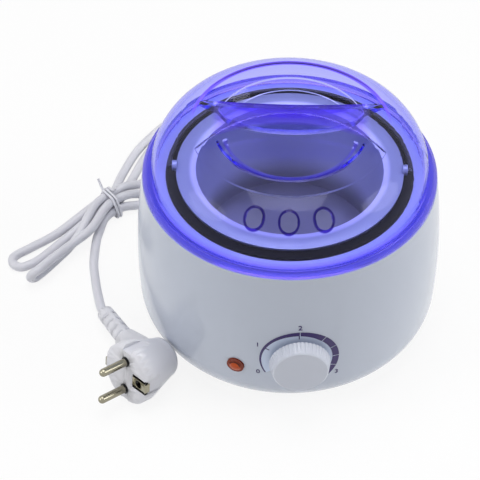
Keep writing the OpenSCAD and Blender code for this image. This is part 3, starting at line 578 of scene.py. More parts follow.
@dataclass(frozen=True)
class LidFinish:
    """Clear tinted moulding: light takes up colour with the length of its way through the wall. Zones of it
    carry painted light and shade: deeper tints, dark painted lines and a painted glow.
    """

    name: str = "lid_violet_clear"
    tint: Rgb = (0.14, 0.15, 0.99)
    density: float = 150.0
    ior: float = 1.2
    rough: float = 0.012
    polish_scale: float = 40.0
    polish_spread: float = 0.02
    coat: float = 0.06
    coat_rough: float = 0.03
    scuffs: float = 0.12
    scuff_scale: float = 300.0
    ripple_scale: float = 70.0
    bump: float = 0.12
    relief: float = 0.0002
    shade: Rgb = (0.76, 0.78, 1.0)
    turn: float = -5.0
    soft: float = 0.0003
    ridge_z: Span = (0.1452, 0.1462)
    ridge_x: Span = (0.04, 0.045)
    ridge_half: float = 0.0033
    ridge_soft: float = 0.0004
    ridge_sweep: float = 0.0868
    # Painted light on the ridge's top: a deeper violet tint, a thinner surface and a faint painted glow.
    ridge_painted_tint: Rgb = (0.75, 0.6, 1.0)
    ridge_thin: float = 0.2
    ridge_painted_glow: float = 0.17
    line_w: Span = (0.0012, 0.0019)
    # Painted shade: a dark line along the ridge's rear edge.
    rear_line_painted_shade: Rgb = (0.05, 0.015, 0.6)
    slope_r: Span = (0.0358, 0.0384)
    slope_z: Span = (0.134, 0.1394)
    slope_y: Span = (-0.001, -0.006)
    lip_r: Span = (0.038, 0.0434)
    lip_z: Span = (0.1342, 0.1422)
    lip_y: Span = (-0.027, -0.033)
    # Painted shade on the rims of the hollows: dark violet and thinner, with some painted glow.
    slope_painted_shade: Rgb = (0.16, 0.06, 0.9)
    slope_thin: float = 0.75
    slope_painted_glow: float = 0.45
    brow_r: Span = (0.0542, 0.0563)
    brow_z: Span = (0.1388, 0.1424)
    brow_y: Span = (0.004, 0.018)
    # Painted shade and painted glow on the brow; this colour is also the colour of all the lid's painted
    # glow.
    brow_painted_light: Rgb = (0.16, 0.09, 0.85)
    # Painted glow: strength of the emission on brow, ridge and hollows' rims, though the lid is no lamp.
    painted_glow_strength: float = 0.8
    flange_z: Span = (0.1106, 0.111)
    # Painted light: a deeper violet tint on the flange, standing in for the colour light takes up through it.
    flange_painted_tint: Rgb = (1.0, 0.82, 1.0)
    vent_r: float = 0.06806
    vent_z: float = 0.1341
    vent_lean: float = 48.55
    vent_turns: tuple[float, ...] = (-111.0, -95.0, -79.0)
    vent_half: Span = (0.0045, 0.0055)
    vent_inner: Span = (0.76, 0.86)
    vent_outer: Span = (1.24, 1.36)
    # Painted shade: the dark violet of the rings round the vents.
    vent_shade_color: Rgb = (0.12, 0.06, 0.5)

    def paint_vent_shade(self, graph: Graph) -> Socket:
        """Draw painted shade: dark rings round the air vents.

        Args:
            graph: graph of the lid's material.

        Returns:
            A mask of the painted shade rings.
        """
        place = graph.place()
        lean = math.radians(self.vent_lean)
        rims = []
        for turn in map(math.radians, self.vent_turns):
            out = Vector((math.cos(turn), math.sin(turn), 0.0))
            centre = out * self.vent_r + Vector((0.0, 0.0, self.vent_z))
            across = Vector((-out.y, out.x, 0.0)) / self.vent_half[0]
            along = (Vector((0.0, 0.0, 1.0)) * math.cos(lean) - out * math.sin(lean)) / self.vent_half[1]
            offset = graph.vector("SUBTRACT", place, tuple(centre)).outputs[0]
            reach = graph.length(*(graph.dot(offset, tuple(way)) for way in (across, along)))
            outer = graph.ramp(reach, *reversed(self.vent_outer))
            rims.append(graph.both(outer, graph.ramp(reach, *self.vent_inner)))
        return graph.either(*rims)

    def masks(self, graph: Graph) -> dict[str, Socket]:
        """Return masks of the ridge's top, its rear edge, the rims of the hollows, the brow and the flange,
        where painted light and shade go.

        Args:
            graph: graph of the lid's material.

        Returns:
            The masks by name.
        """
        place = graph.place()
        turn = math.radians(self.turn)
        x = graph.dot(place, (math.cos(turn), math.sin(turn), 0.0))
        y = graph.dot(place, (-math.sin(turn), math.cos(turn), 0.0))
        z = graph.parts(place)[2]
        radius = graph.length(x, y)
        bow = graph.math("SQRT", graph.math("SUBTRACT", self.ridge_sweep ** 2, graph.math("MULTIPLY", x, x)))
        half = graph.math("SUBTRACT", self.ridge_half + self.ridge_sweep, bow)
        top = graph.both(
            graph.ramp(graph.math("SUBTRACT", half, graph.math("ABSOLUTE", y)), -self.ridge_soft, 0.0),
            graph.ramp(z, *self.ridge_z),
            graph.ramp(graph.math("ABSOLUTE", x), *reversed(self.ridge_x)),
        )
        slope, lip, brow = (
            graph.both(
                graph.between(radius, across, self.soft), graph.between(z, up, self.soft), graph.ramp(y, *way)
            )
            for across, up, way in (
                (self.slope_r, self.slope_z, self.slope_y),
                (self.lip_r, self.lip_z, self.lip_y),
                (self.brow_r, self.brow_z, self.brow_y),
            )
        )
        rear = graph.ramp(graph.math("SUBTRACT", half, y), *reversed(self.line_w))
        return {
            "flange": graph.ramp(z, *reversed(self.flange_z)),
            "slope": graph.either(slope, lip),
            "brow": brow,
            "top": top,
            "rear": graph.both(top, rear),
        }

    def make(self) -> Material:
        """Return the lid's material, with its painted light and shade."""
        material, graph, shader = new_material(self.name)
        masks = self.masks(graph)
        # Painted shade round the vents.
        color = graph.mix(self.paint_vent_shade(graph), WHITE, self.vent_shade_color)
        # Painted light and shade in each zone.
        for mask, tone in (
            ("flange", self.flange_painted_tint), ("slope", self.slope_painted_shade), ("brow", self.brow_painted_light),
            ("top", self.ridge_painted_tint), ("rear", self.rear_line_painted_shade),
        ):
            color = graph.mix(masks[mask], color, tone)
        body = graph.math("MULTIPLY_ADD", masks["slope"], -self.slope_thin, 1.0)
        # Painted glow on the ridge's top and the hollows' rims.
        ridge, slope = (
            graph.math("MULTIPLY", masks[mask], glow)
            for mask, glow in (("top", self.ridge_painted_glow), ("slope", self.slope_painted_glow))
        )
        place = graph.place()
        polish = graph.math(
            "MULTIPLY_ADD", graph.noise(place, self.polish_scale, 4.0), self.polish_spread, self.rough
        )
        marks = Effects.use(graph, Effect.SCUFF, {"Amount": self.scuffs, "Scale": self.scuff_scale})
        ripple = graph.noise(place, self.ripple_scale, 2.0)
        relief = {"Height": ripple, "Strength": self.bump, "Distance": self.relief}
        graph.feed(shader, {
            "Base Color": color,
            "Alpha": graph.math("MULTIPLY_ADD", masks["top"], -self.ridge_thin, body),
            # Painted glow: the lid emits light on these zones though it is no lamp.
            "Emission Color": graph.mix(graph.either(masks["brow"], ridge, slope), BLACK, self.brow_painted_light),
            "Emission Strength": self.painted_glow_strength,
            "Roughness": graph.math("ADD", polish, marks["Mask"]),
            "Normal": graph.put("ShaderNodeBump", relief).outputs[0],
            "Transmission Weight": 1.0,
            "IOR": self.ior,
            "Coat Weight": self.coat,
            "Coat Roughness": self.coat_rough,
        })
        clear = graph.put("ShaderNodeBsdfTransparent", {"Color": (*self.shade, 1.0)})
        path = graph.put("ShaderNodeLightPath").outputs
        through = graph.either(path["Is Shadow Ray"], path["Is Diffuse Ray"])
        depth = graph.put("ShaderNodeVolumeAbsorption", {"Color": (*self.tint, 1.0), "Density": self.density})
        surface = graph.put("ShaderNodeMixShader", {0: through, 1: shader.outputs[0], 2: clear.outputs[0]})
        graph.feed(material.node_tree.nodes["Material Output"], {
            "Surface": surface.outputs[0], "Volume": depth.outputs[0],
        })
        return material


# The lead's sizes, in millimetres as the part's own source gives them
CORD_D = 5.6
LAY_Z = CORD_D / 2
TIE_D = 1.6


def link_new(name: str, data: bpy.types.ID) -> Piece:
    """Make an object of some data, add it to the scene and return it."""
    piece = bpy.data.objects.new(name, data)
    bpy.context.scene.collection.objects.link(piece)
    return piece


def route(keys: list[Vector], steps: int, low: float) -> list[Vector]:
    """Run a smooth curve through keys without dipping below a height.

    Args:
        keys: points that the curve passes.
        steps: points from one key to the next.
        low: least height of the curve.

    Returns:
        The points along the curve.
    """
    ends = [2 * keys[0] - keys[1], *keys, 2 * keys[-1] - keys[-2]]
    points = []
    for a, b, c, d in zip(ends, ends[1:], ends[2:], ends[3:]):
        for step in range(steps):
            t = step / steps
            bow = (2 * a - 5 * b + 4 * c - d) * t * t + (3 * b - a - 3 * c + d) * t ** 3
            point = 0.5 * (2 * b + (c - a) * t + bow)
            point.z = max(point.z, low)
            points.append(point)
    return [*points, keys[-1].copy()]


@dataclass(frozen=True)
class PlugPlace:
    """Where the plug lies: X along its pins, its origin at the middle of the face."""

    at: Spot = (-97.3, -70.0, 19.6)
    yaw: float = 219.0
    tilt: float = 11.0
    roll: float = 6.0
    neck_x: float = -16.0
    neck_turn: float = 14.5
    relief_end: float = 55.0

    def turn(self) -> Matrix:
        """Return the plug's rotation."""
        yaw, tilt, roll = (math.radians(a) for a in (self.yaw, -self.tilt, self.roll))
        return Matrix.Rotation(yaw, 3, "Z") @ Matrix.Rotation(tilt, 3, "Y") @ Matrix.Rotation(roll, 3, "X")

    def matrix(self) -> Matrix:
        """Return the placing of plug sizes in millimetres into the part's frame in metres."""
        return Matrix.Scale(MM, 4) @ Matrix.Translation(self.at) @ self.turn().to_4x4()

    def neck(self, reach: float) -> Vector:
        """Return the point at a distance along the side outlet, in the plug's own frame."""
        lean = math.radians(self.neck_turn)
        return Vector((self.neck_x - reach * math.sin(lean), -reach * math.cos(lean), 0.0))

    def on_neck(self, reach: float) -> Vector:
        """Return the same point in the part's frame, in millimetres."""
        return Vector(self.at) + self.turn() @ self.neck(reach)

    def masks(self) -> tuple[RoundMask, ...]:
        """Return masks about the plug's own three axes, counted from the face."""
        centre = tuple(Vector(self.at) * MM)
        return tuple(RoundMask(centre, tuple(axis)) for axis in self.turn().transposed())


@dataclass(frozen=True)
class PlugFinish(Finish):
    """Satin moulding whose slits and earth hole are painted dark inside: painted shade."""

    masks: tuple[RoundMask, ...] = ()
    soft: float = 0.0002
    slit_x: Span = (-0.0026, -0.0004)
    slit_y: Span = (0.0058, 0.0167)
    slit_z: Span = (0.00258, 0.00462)
    slit_end: float = 0.0001
    hole_x: Span = (-0.0137, -0.0004)
    hole_y: float = 0.011
    hole_r: float = 0.00255
    # Painted shade: near black inside the slits and the earth hole, which are white moulding lying in shade.
    dark: Rgb = (0.006, 0.006, 0.007)

    def areas(self, graph: Graph, worked: Outputs) -> Feeds:
        """Return the colour with painted shade in the slits and hole."""
        x, y, z = (mask.along(graph) for mask in self.masks)
        slit = graph.both(
            graph.between(x, self.slit_x, self.soft),
            graph.between(y, self.slit_y, self.slit_end),
            graph.between(graph.math("ABSOLUTE", z), self.slit_z, self.soft),
        )
        reach = graph.length(graph.math("SUBTRACT", y, self.hole_y), z)
        round_hole = graph.ramp(reach, self.hole_r + self.soft, self.hole_r)
        hole = graph.both(graph.between(x, self.hole_x, self.soft), round_hole)
        # Painted shade in the slits and the hole.
        return {"Base Color": graph.mix(graph.either(slit, hole), worked["Color"], self.dark)}


@dataclass(frozen=True)
class PlugFace:
    """The plug's moulded body with its face cut out, and the earth strips let into it."""

    plug: PlugPlace = PlugPlace()
    body_r: float = 18.4
    flank_in: float = 1.8
    strip_t: float = 0.9
    strip_w: float = 5.6
    strip_l: float = 3.2
    strip_edge: float = 0.16
    face_y: float = 6.0
    hole_y: float = 11.0
    hole_r: float = 2.4
    hole_deep: float = 13.0
    hole_sides: int = 40
    slit_w: float = 1.8
    slit_deep: float = 2.0
    root_reach: Span = (5.0, 27.0)
    root_r: Span = (13.0, 6.9)
    root_sides: int = 64
    guide_w: float = 6.4
    guide_deep: float = 2.4
    guide_l: float = 15.0
    room: float = 0.06
    merge: float = 0.0005
    past: float = 1.0

    @property
    def flank_y(self) -> float:
        """Inner side of the strips at the plug's flanks."""
        return self.body_r - self.flank_in

    @staticmethod
    def block(name: str, *sides: Span) -> Piece:
        """Add a block in the plug's own frame.

        Args:
            name: the piece's name.
            sides: lowest and highest X, Y and Z in millimetres.

        Returns:
            The block.
        """
        return add_piece(
            name, bpy.ops.mesh.primitive_cube_add, size=1.0,
            location=[(a + b) / 2 for a, b in sides], scale=[b - a for a, b in sides],
        )

    def drill(self) -> Piece:
        """Add a round cutter for the earth hole and return it."""
        return add_piece(
            "earth_hole", bpy.ops.mesh.primitive_cylinder_add, vertices=self.hole_sides,
            radius=self.hole_r, depth=self.hole_deep + self.past, rotation=(0.0, math.pi / 2, 0.0),
            location=((self.past - self.hole_deep) / 2, self.hole_y, 0.0),
        )

    def root(self) -> Piece:
        """Add the tapered root with which the body runs into its side outlet, and return it."""
        low, high = self.root_reach
        along = self.plug.neck(high) - self.plug.neck(low)
        return add_piece(
            "outlet_root", bpy.ops.mesh.primitive_cone_add, vertices=self.root_sides,
            radius1=self.root_r[0], radius2=self.root_r[1], depth=high - low,
            location=self.plug.neck((low + high) / 2), rotation=along.to_track_quat("Z", "Y").to_euler(),
        )

    @staticmethod
    def combine(piece: Piece, operation: str, *tools: Piece) -> None:
        """Cut closed shapes out of a piece, or join them to it, and delete them.

        Args:
            piece: what is worked.
            operation: the modifier's operation.
            tools: the closed shapes.
        """
        for tool in tools:
            work(piece, "BOOLEAN", operation=operation, solver="EXACT", object=tool)
            bpy.data.objects.remove(tool, do_unlink=True)

    def place(self, piece: Piece) -> Piece:
        """Move a piece from the plug's own frame to its place in the part, and smooth it.

        Args:
            piece: what is moved.

        Returns:
            The same piece.
        """
        piece.matrix_world = self.plug.matrix()
        settle_place(piece)
        bpy.ops.object.shade_smooth_by_angle(angle=SMOOTH_BELOW)
        return piece

    def shell(self) -> Piece:
        """Make the moulded body from a merged copy of its solid, with the face's cut-outs.

        Returns:
            The body, in place.
        """
        piece = link_new("plug_shell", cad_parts["plug_body"].data.copy())
        piece.data.transform(self.plug.matrix().inverted())
        with editing(piece):
            bpy.ops.mesh.remove_doubles(threshold=self.merge)
        half, room, past = self.strip_w / 2, self.room, self.past
        cutters = [
            self.block(
                "strip_seat", (-self.strip_t - room, past), (self.face_y - room, self.body_r + past),
                (-half - room, half + room),
            ),
            self.drill(),
        ]
        for side in (-1, 1):
            slit = sorted((side * half, side * (half + self.slit_w)))
            guide = sorted((side * (self.body_r - self.guide_deep), side * (self.body_r + past)))
            cutters += [
                self.block("slit", (-self.slit_deep, past), (self.face_y, self.flank_y), slit),
                self.block("guide", (-self.guide_l, past), (-self.guide_w / 2, self.guide_w / 2), guide),
            ]
        self.combine(piece, "UNION", self.root())
        self.combine(piece, "DIFFERENCE", *cutters)
        return self.place(piece)

    def strip(self, name: str, over_face: bool) -> Piece:
        """Bend one earth strip from a block.

        Args:
            name: the piece's name.
            over_face: whether the strip goes on over the plug's face.

        Returns:
            The strip in the plug's own frame, on its upper flank.
        """
        half = self.strip_w / 2
        thick = (self.flank_y, self.flank_y + self.strip_t)
        piece = self.block(name, (-self.strip_l, 0.0), thick, (-half, half))
        if over_face:
            with editing(piece):
                bpy.ops.mesh.bisect(plane_co=(-self.strip_t, 0.0, 0.0), plane_no=(1.0, 0.0, 0.0))
                bpy.ops.mesh.select_all(action="DESELECT")
            for face in piece.data.polygons:
                face.select = face.normal.y < -SQUARE_ON and face.center.x > -self.strip_t
            with editing(piece, everything=False):
                bpy.ops.mesh.select_mode(type="FACE")
                bpy.ops.mesh.extrude_region_move(
                    TRANSFORM_OT_translate={"value": (0.0, self.face_y - self.flank_y, 0.0)}
                )
                bpy.ops.mesh.select_mode(type="VERT")
            self.combine(piece, "DIFFERENCE", self.drill())
        work(piece, "BEVEL", width=self.strip_edge, segments=2, limit_method="ANGLE")
        return piece

    def strips(self) -> Piece:
        """Make both earth strips as one piece.

        Returns:
            The strips, in place.
        """
        near = self.strip("earth_strips", True)
        far = self.strip("far_strip", False)
        far.rotation_euler = (math.pi, 0.0, 0.0)
        settle_place(far)
        near.select_set(True)
        bpy.context.view_layer.objects.active = near
        bpy.ops.object.join()
        return self.place(near)

    def build(self, moulding: Finish, plating: Finish) -> list[Piece]:
        """Make the plug's body and strips in place of their solids.

        Args:
            moulding: finish of the body.
            plating: finish of the strips.

        Returns:
            The body and the strips.
        """
        body, strips = self.shell(), self.strips()
        fit(body, moulding.make(), "plug_white", "plug_body")
        fit(strips, plating.make(), "plug_nickel", "plug_clips")
        return [body, strips]


@dataclass(frozen=True)
class MainsLead:
    """The lead from the gland through the tied hank to the plug, and its wire tie."""

    plug: PlugPlace = PlugPlace()
    gland: Spot = (0.0, 96.8, 22.0)
    steps: int = 10
    sides: int = 6
    tie_at: Span = (-104.6, 85.1)
    tie_turn: float = 32.0
    tie_pitch: float = 2.2
    tie_turns: int = 2
    tie_slack: float = 0.5
    tie_rise: float = 0.3
    tie_start: tuple[Span, ...] = ((7.0, 6.0), (2.5, 0.9))
    tie_end: tuple[Span, ...] = ((-3.0, 1.0), (-7.0, 6.0))
    tie_past: float = 0.2
    tie_steps: int = 6
    tie_sides: int = 4
    slot: float = CORD_D + 0.8
    low_z: float = LAY_Z + TIE_D + 0.55
    high_z: float = LAY_Z + TIE_D + 6.35
    nest: float = CORD_D + 1.2
    loop_at: Spot = (90.0, 18.0, LAY_Z)
    loop_half: Span = (54.0, 30.0)
    fold_a: Spot = (-70.0, -7.9, LAY_Z)
    fold_a_r: float = 5.8
    fold_b: Spot = (-70.0, -27.2, 7.6)
    fold_b_r: float = 4.9
    fold_b_lean: float = 112.0

    def spot(self, along: float, across: float, height: float) -> Vector:
        """Return a place on the bundle, counted from the tie."""
        turn = math.radians(self.tie_turn)
        return Vector((
            self.tie_at[0] + along * math.cos(turn) - across * math.sin(turn),
            self.tie_at[1] + along * math.sin(turn) + across * math.cos(turn),
            height,
        ))

    def bend(self, middle: Spot, long: float, wide: float, start: int, lean: float = 0.0) -> list[Vector]:
        """Return keys of a half turn on the bundle.

        Args:
            middle: the turn's middle, counted from the tie.
            long: its half axis along the bundle.
            wide: its half axis across the bundle.
            start: direction of its first key, in degrees.
            lean: how far its plane leans over, in degrees.

        Returns:
            The keys in order.
        """
        keys = []
        for turn in (math.radians(start + step) for step in HALF_TURN):
            side, over = wide * math.sin(turn), math.radians(lean)
            keys.append(self.spot(
                middle[0] + long * math.cos(turn),
                middle[1] + side * math.cos(over),
                middle[2] + side * math.sin(over),
            ))
        return keys

    def far_loop(self, inset: float) -> list[Vector]:
        """Return the loop behind the housing, drawn in by an inset."""
        return self.bend(self.loop_at, *(half - inset for half in self.loop_half), -90)

    def hank_keys(self) -> list[Vector]:
        """Return the keys of the hank, from the plug's side to the gland's side."""
        at, lay, low, high, slot = self.spot, LAY_Z, self.low_z, self.high_z, self.slot
        return [
            at(0, -slot, low), at(6, -slot, low), at(20, -9.5, lay), at(50, -11.6, lay),
            *self.far_loop(0),
            at(50, 38, lay), at(24, 22.6, lay), at(8, 8.8, low), at(0, slot, low),
            at(-8, 5.8, low), at(-40, -0.6, lay), at(-60, -1.8, lay),
            *self.bend(self.fold_a, self.fold_a_r, self.fold_a_r, 90),
            at(-60, -13.4, lay), at(-40, -8.2, lay), at(-10, -0.8, low), at(0, 0, low),
            at(8, 1.2, low), at(26, 14.6, lay), at(52, 31, lay),
            *reversed(self.far_loop(self.nest)),
            at(50, -4.8, lay), at(26, -3, lay + 0.6), at(12, -3.4, high - 0.7),
            at(0, -slot / 2, high), at(-10, -7.2, high + 0.2), at(-25, -16.4, high),
            at(-42, -20.8, high), at(-60, -26, 12),
            *self.bend(self.fold_b, self.fold_b_r, self.fold_b_r, 90, self.fold_b_lean),
            at(-60, -22.4, lay), at(-44, -16.8, lay), at(-32, -12.6, 6),
            at(-22, -7, high - 0.4), at(-10, 0.6, high + 0.3), at(0, slot / 2, high),
        ]

    def tail_keys(self) -> list[Vector]:
        """Return the keys from the plug's relief to the tie."""
        at, lay, low, end = self.spot, LAY_Z, self.low_z, self.plug.relief_end
        return [
            self.plug.on_neck(end), self.plug.on_neck(end + CORD_D), Vector((-113, 6, 5)),
            Vector((-114.6, 20, 3)), Vector((-115.7, 36, lay)), Vector((-114.2, 54, lay)),
            at(-19, -15.4, lay), at(-12, -9.8, low), at(-6, -6.6, low), at(0, -self.slot, low),
        ]

    def lead_keys(self) -> list[Vector]:
        """Return the keys from the tie to the gland."""
        at, lay, high, side, end = self.spot, LAY_Z, self.high_z, self.slot / 2, Vector(self.gland)
        return [
            at(0, side, high), at(6, side, high), at(14, 3.4, high + 0.2), at(27, 4.2, 6),
            at(45, 12, lay), Vector((-54, 134, lay)), Vector((-26, 146, 5.5)), Vector((-5, 138, 13)),
            Vector((0, 118, 20.5)), end + Vector((0, CORD_D, 0)), end,
        ]

    def points(self) -> list[Vector]:
        """Join the runs of the lead from the gland to the plug.

        Returns:
            The whole route in metres.
        """
        parts = (self.tail_keys(), self.hank_keys(), self.lead_keys())
        first, *others = (route(keys, self.steps, LAY_Z) for keys in parts)
        line = [*first, *(point for run in others for point in run[1:])]
        return [point * MM for point in reversed(line)]

    def tie_points(self) -> list[Vector]:
        """Lead the wire tie round the waist of the hank.

        Returns:
            Its route in metres.
        """
        slot, low, high = self.slot, self.low_z, self.high_z
        stack = [(slot / 2, high), (-slot / 2, high), (-slot, low), (slot, low)]
        round_r = CORD_D / 2 + self.tie_slack + TIE_D / 2
        half = self.tie_turns * self.tie_pitch / 2

        def edge(i: int) -> float:
            """Return the direction square to one side of the stack."""
            a, b = stack[i % 4], stack[(i + 1) % 4]
            return math.degrees(math.atan2(b[1] - a[1], b[0] - a[0])) - 90

        def key(i: int, share: float) -> Vector:
            """Return a point on the arc round one corner."""
            turn = math.radians(edge(i + 3) + share * ((edge(i) - edge(i + 3)) % 360))
            along = (i + self.tie_rise * share) / 4 * self.tie_pitch - half
            across, up = stack[i % 4]
            return self.spot(along, across + round_r * math.cos(turn), up + round_r * math.sin(turn))

        def end(along: float, offsets: tuple[Span, ...]) -> list[Vector]:
            """Return the points of a loose end above the stack."""
            return [self.spot(along, slot / 2 + across, high + round_r + up) for across, up in offsets]

        turns = [key(i, share) for i in range(1, 4 * self.tie_turns + 1) for share in (0, 0.5, 1)]
        keys = [*end(-half, self.tie_start), key(0, 1), *turns, *end(half + self.tie_past, self.tie_end)]
        return [point * MM for point in route(keys, self.tie_steps, TIE_D / 2)]

    @staticmethod
    def tube(name: str, points: list[Vector], diameter: float, sides: int) -> Piece:
        """Make a round cord as a curve of one open spline.

        Args:
            name: the piece's name.
            points: the centre line in metres.
            diameter: the cord's diameter in millimetres.
            sides: how finely its round section is drawn.

        Returns:
            The curve object.
        """
        data = bpy.data.curves.new(name, "CURVE")
        data.dimensions = "3D"
        data.bevel_depth = diameter / 2 * MM
        data.bevel_resolution = sides
        data.use_fill_caps = True
        data.twist_mode = "MINIMUM"
        spline = data.splines.new("POLY")
        spline.points.add(len(points) - 1)
        for knot, point in zip(spline.points, points):
            knot.co = (*point, 1.0)
        spline.use_smooth = True
        return link_new(name, data)

    def build(self, sheath: Finish, wire: Finish, far_end: list[Piece]) -> list[Piece]:
        """Make the lead and its tie and put them in place of their solids.

        Args:
            sheath: finish of the lead.
            wire: finish of the tie.
            far_end: pieces of the plug on the lead's far end; not used.

        Returns:
            The two pieces.
        """
        line = self.points()
        lead = self.tube("mains_lead", line, CORD_D, self.sides)
        fit(lead, sheath.make(), "cord_white", "cord_lead", "cord_hank", "cord_tail")
        tie = self.tube("wire_tie", self.tie_points(), TIE_D, self.tie_sides)
        fit(tie, wire.make(), "tie_white", "cord_tie")
        return [lead, tie]


@dataclass(frozen=True)
class DialPrint:
    """The scale printed on the housing round the knob, and its plain numbers."""

    axis_z: float = 46.0
    belly_r: float = 87.6
    belly_z: float = 47.0
    side_arc: float = 400.086
    outer_r: float = 22.2
    start: float = 211.0
    end: float = -41.0
    step: float = 2.5
    least_steps: int = 4
    thin: float = 0.8
    thick: float = 3.7
    swell_share: float = 0.62
    swell_power: float = 1.4
    tip_arc: float = 16.0
    tip_share: float = 0.35
    gaps: tuple[float, ...] = (90.0, 49.0, 23.0, 1.0, -20.0)
    gap_w: float = 0.55
    field_r: float = 14.5
    field_share: float = 0.6
    field_lift: float = 0.04
    ticks: tuple[Span, ...] = ((91.6, 2.3), (155.0, 2.2))
    tick_w: float = 0.7
    tick_lift: float = 0.12
    lift: float = 0.1
    film: float = 0.03
    merge: float = 1e-7
    numbers: tuple[tuple[str, float, float, float], ...] = (
        ("0", 207.0, 25.6, 3.2),
        ("1", 155.0, 25.6, 3.2),
        ("2", 90.0, 25.4, 3.4),
        ("3", -33.0, 25.4, 3.2),
    )
    type_size: float = 1.4
    type_weight: float = 0.07
    type_steps: int = 6

    def wrap(self, across: float, up: float, lift: float) -> Vector:
        """Lay a flat place onto the housing's side.

        Args:
            across: distance to the right of the dial's axis in millimetres.
            up: height above the dial's axis in millimetres.
            lift: height above the housing's side in millimetres.

        Returns:
            The place just outside the housing, in metres.
        """
        height = self.axis_z + up
        bow = math.sqrt(self.side_arc ** 2 - (height - self.belly_z) ** 2)
        radius = self.belly_r - self.side_arc + bow + lift
        return Vector((across, -math.sqrt(radius ** 2 - across ** 2), height)) * MM

    def width(self, angle: float) -> float:
        """Let the scale swell along its way and narrow at its tip.

        Args:
            angle: a direction from the dial's axis, in degrees.

        Returns:
            The scale's width there, in millimetres.
        """
        share = (self.start - angle) / (self.start - self.end)
        swell = min(1.0, share / self.swell_share) ** self.swell_power
        tip = min(1.0, (angle - self.end) / self.tip_arc)
        return (self.thin + (self.thick - self.thin) * swell) * (self.tip_share + (1 - self.tip_share) * tip)

    def scale_band(self, angle: float) -> Span:
        """Return the inner and outer radius of the scale at an angle."""
        return self.outer_r - self.width(angle), self.outer_r

    def field_band(self, angle: float) -> Span:
        """Return the inner and outer radius of the pale field at an angle."""
        return self.field_r, self.outer_r - self.field_share * self.width(angle)

    def half_angle(self, width: float) -> float:
        """Return half the angle that a width takes up on the scale's outer edge."""
        return math.degrees(width / 2 / self.outer_r)

    def strip(self, name: str, first: float, last: float, band: Band, lift: float) -> Piece:
        """Bend one stretch of print from a grid.

        Args:
            name: the piece's name.
            first: angle where the stretch starts, in degrees.
            last: angle where it ends.
            band: gives the inner and outer radius at an angle.
            lift: height above the housing's side in millimetres.

        Returns:
            The flat stretch, wrapped onto the housing.
        """
        steps = max(self.least_steps, int(abs(first - last) / self.step))
        grid = bpy.ops.mesh.primitive_grid_add
        piece = add_piece(name, grid, x_subdivisions=steps, y_subdivisions=2, size=1.0)
        for vertex in piece.data.vertices:
            angle = first + (last - first) * (vertex.co.x + 0.5)
            inner, outer = band(angle)
            radius = inner + (outer - inner) * (vertex.co.y + 0.5)
            turn = math.radians(angle)
            vertex.co = self.wrap(radius * math.cos(turn), radius * math.sin(turn), lift)
        return piece

    def number(self, text: str, angle: float, radius: float, height: float) -> Piece:
        """Set one plain number upright on the housing.

        Args:
            text: the number.
            angle: its direction from the dial's axis, in degrees.
            radius: its distance from the axis in millimetres.
            height: its height in millimetres.

        Returns:
            The number as a mesh.
        """
        deselect()
        bpy.ops.object.text_add()
        piece = bpy.context.object
        piece.name = f"dial_number_{text}"
        piece.data.body = text
        piece.data.align_x = "CENTER"
        piece.data.align_y = "CENTER"
        piece.data.size = self.type_size * height
        piece.data.offset = self.type_weight
        piece.data.resolution_u = self.type_steps
        bpy.ops.object.convert(target="MESH")
        piece = bpy.context.object
        turn = math.radians(angle)
        x, y = radius * math.cos(turn), radius * math.sin(turn)
        for vertex in piece.data.vertices:
            vertex.co = self.wrap(x + vertex.co.x, y + vertex.co.y, self.lift)
        return piece

    def thicken(self, piece: Piece) -> None:
        """Turn a flat stretch of print outwards and make it a thin film.

        Args:
            piece: the stretch, wrapped onto the housing.
        """
        with editing(piece):
            bpy.ops.mesh.remove_doubles(threshold=self.merge)
            bpy.ops.mesh.normals_make_consistent(inside=False)
        if sum(face.normal.y for face in piece.data.polygons) > 0:
            with editing(piece):
                bpy.ops.mesh.flip_normals()
        work(piece, "SOLIDIFY", thickness=self.film * MM, offset=1.0)

    def build(self, ink: Finish, pale: Finish) -> list[Piece]:
        """Lay the pale field, and print the scale, its ticks and its numbers.

        Args:
            ink: finish of the scale, ticks and numbers.
            pale: finish of the field inside the scale.

        Returns:
            The printed pieces.
        """
        half = self.half_angle(self.gap_w)
        cuts = [(self.start, self.start), *((a + half, a - half) for a in self.gaps), (self.end, self.end)]
        pieces = [
            self.strip(f"dial_scale_{i}", first, last, self.scale_band, self.lift)
            for i, ((_, first), (last, _)) in enumerate(zip(cuts, cuts[1:]), 1)
        ]
        half = self.half_angle(self.tick_w)
        for i, (angle, length) in enumerate(self.ticks, 1):
            band = (self.scale_band(angle)[0] - length, self.outer_r)
            ends = (angle + half, angle - half)
            pieces.append(self.strip(f"dial_tick_{i}", *ends, lambda _, b=band: b, self.tick_lift))
        pieces += [self.number(*number) for number in self.numbers]
        dark = ink.make()
        for piece in pieces:
            self.thicken(piece)
            fit(piece, dark, "collar_black")
        area = self.strip("dial_field", self.start, self.end, self.field_band, self.field_lift)
        self.thicken(area)
        fit(area, pale.make(), "housing_white")
        return [*pieces, area]


LAMP_TURN = math.radians(-23.6)
LAMP = RoundMask((0.0, 0.0, 0.0366), (math.sin(LAMP_TURN), -math.cos(LAMP_TURN), 0.0))

PLUG_WHITE = PlugFinish(
    "plug_white", (0.74, 0.74, 0.79), 0.36, grain=1300.0, relief=0.00003, masks=PlugPlace().masks()
)
NICKEL = Finish("plug_nickel", (0.34, 0.32, 0.24), 0.24, Effect.DRAWN, metallic=1.0)
CORD_WHITE = Finish("cord_white", (0.68, 0.68, 0.74), 0.42, grain=1500.0, relief=0.00003, shift=0.06)
TIE_WHITE = Finish("tie_white", (0.72, 0.72, 0.78), 0.4, grain=2500.0)
INK = Finish("scale_ink", (0.03, 0.012, 0.12), 0.35, shift=0.3)
# A pale field inside the scale, lighter and bluer than the housing.
PALE_FIELD = Finish("scale_field", (0.6, 0.68, 0.86), 0.3, shift=0.08)

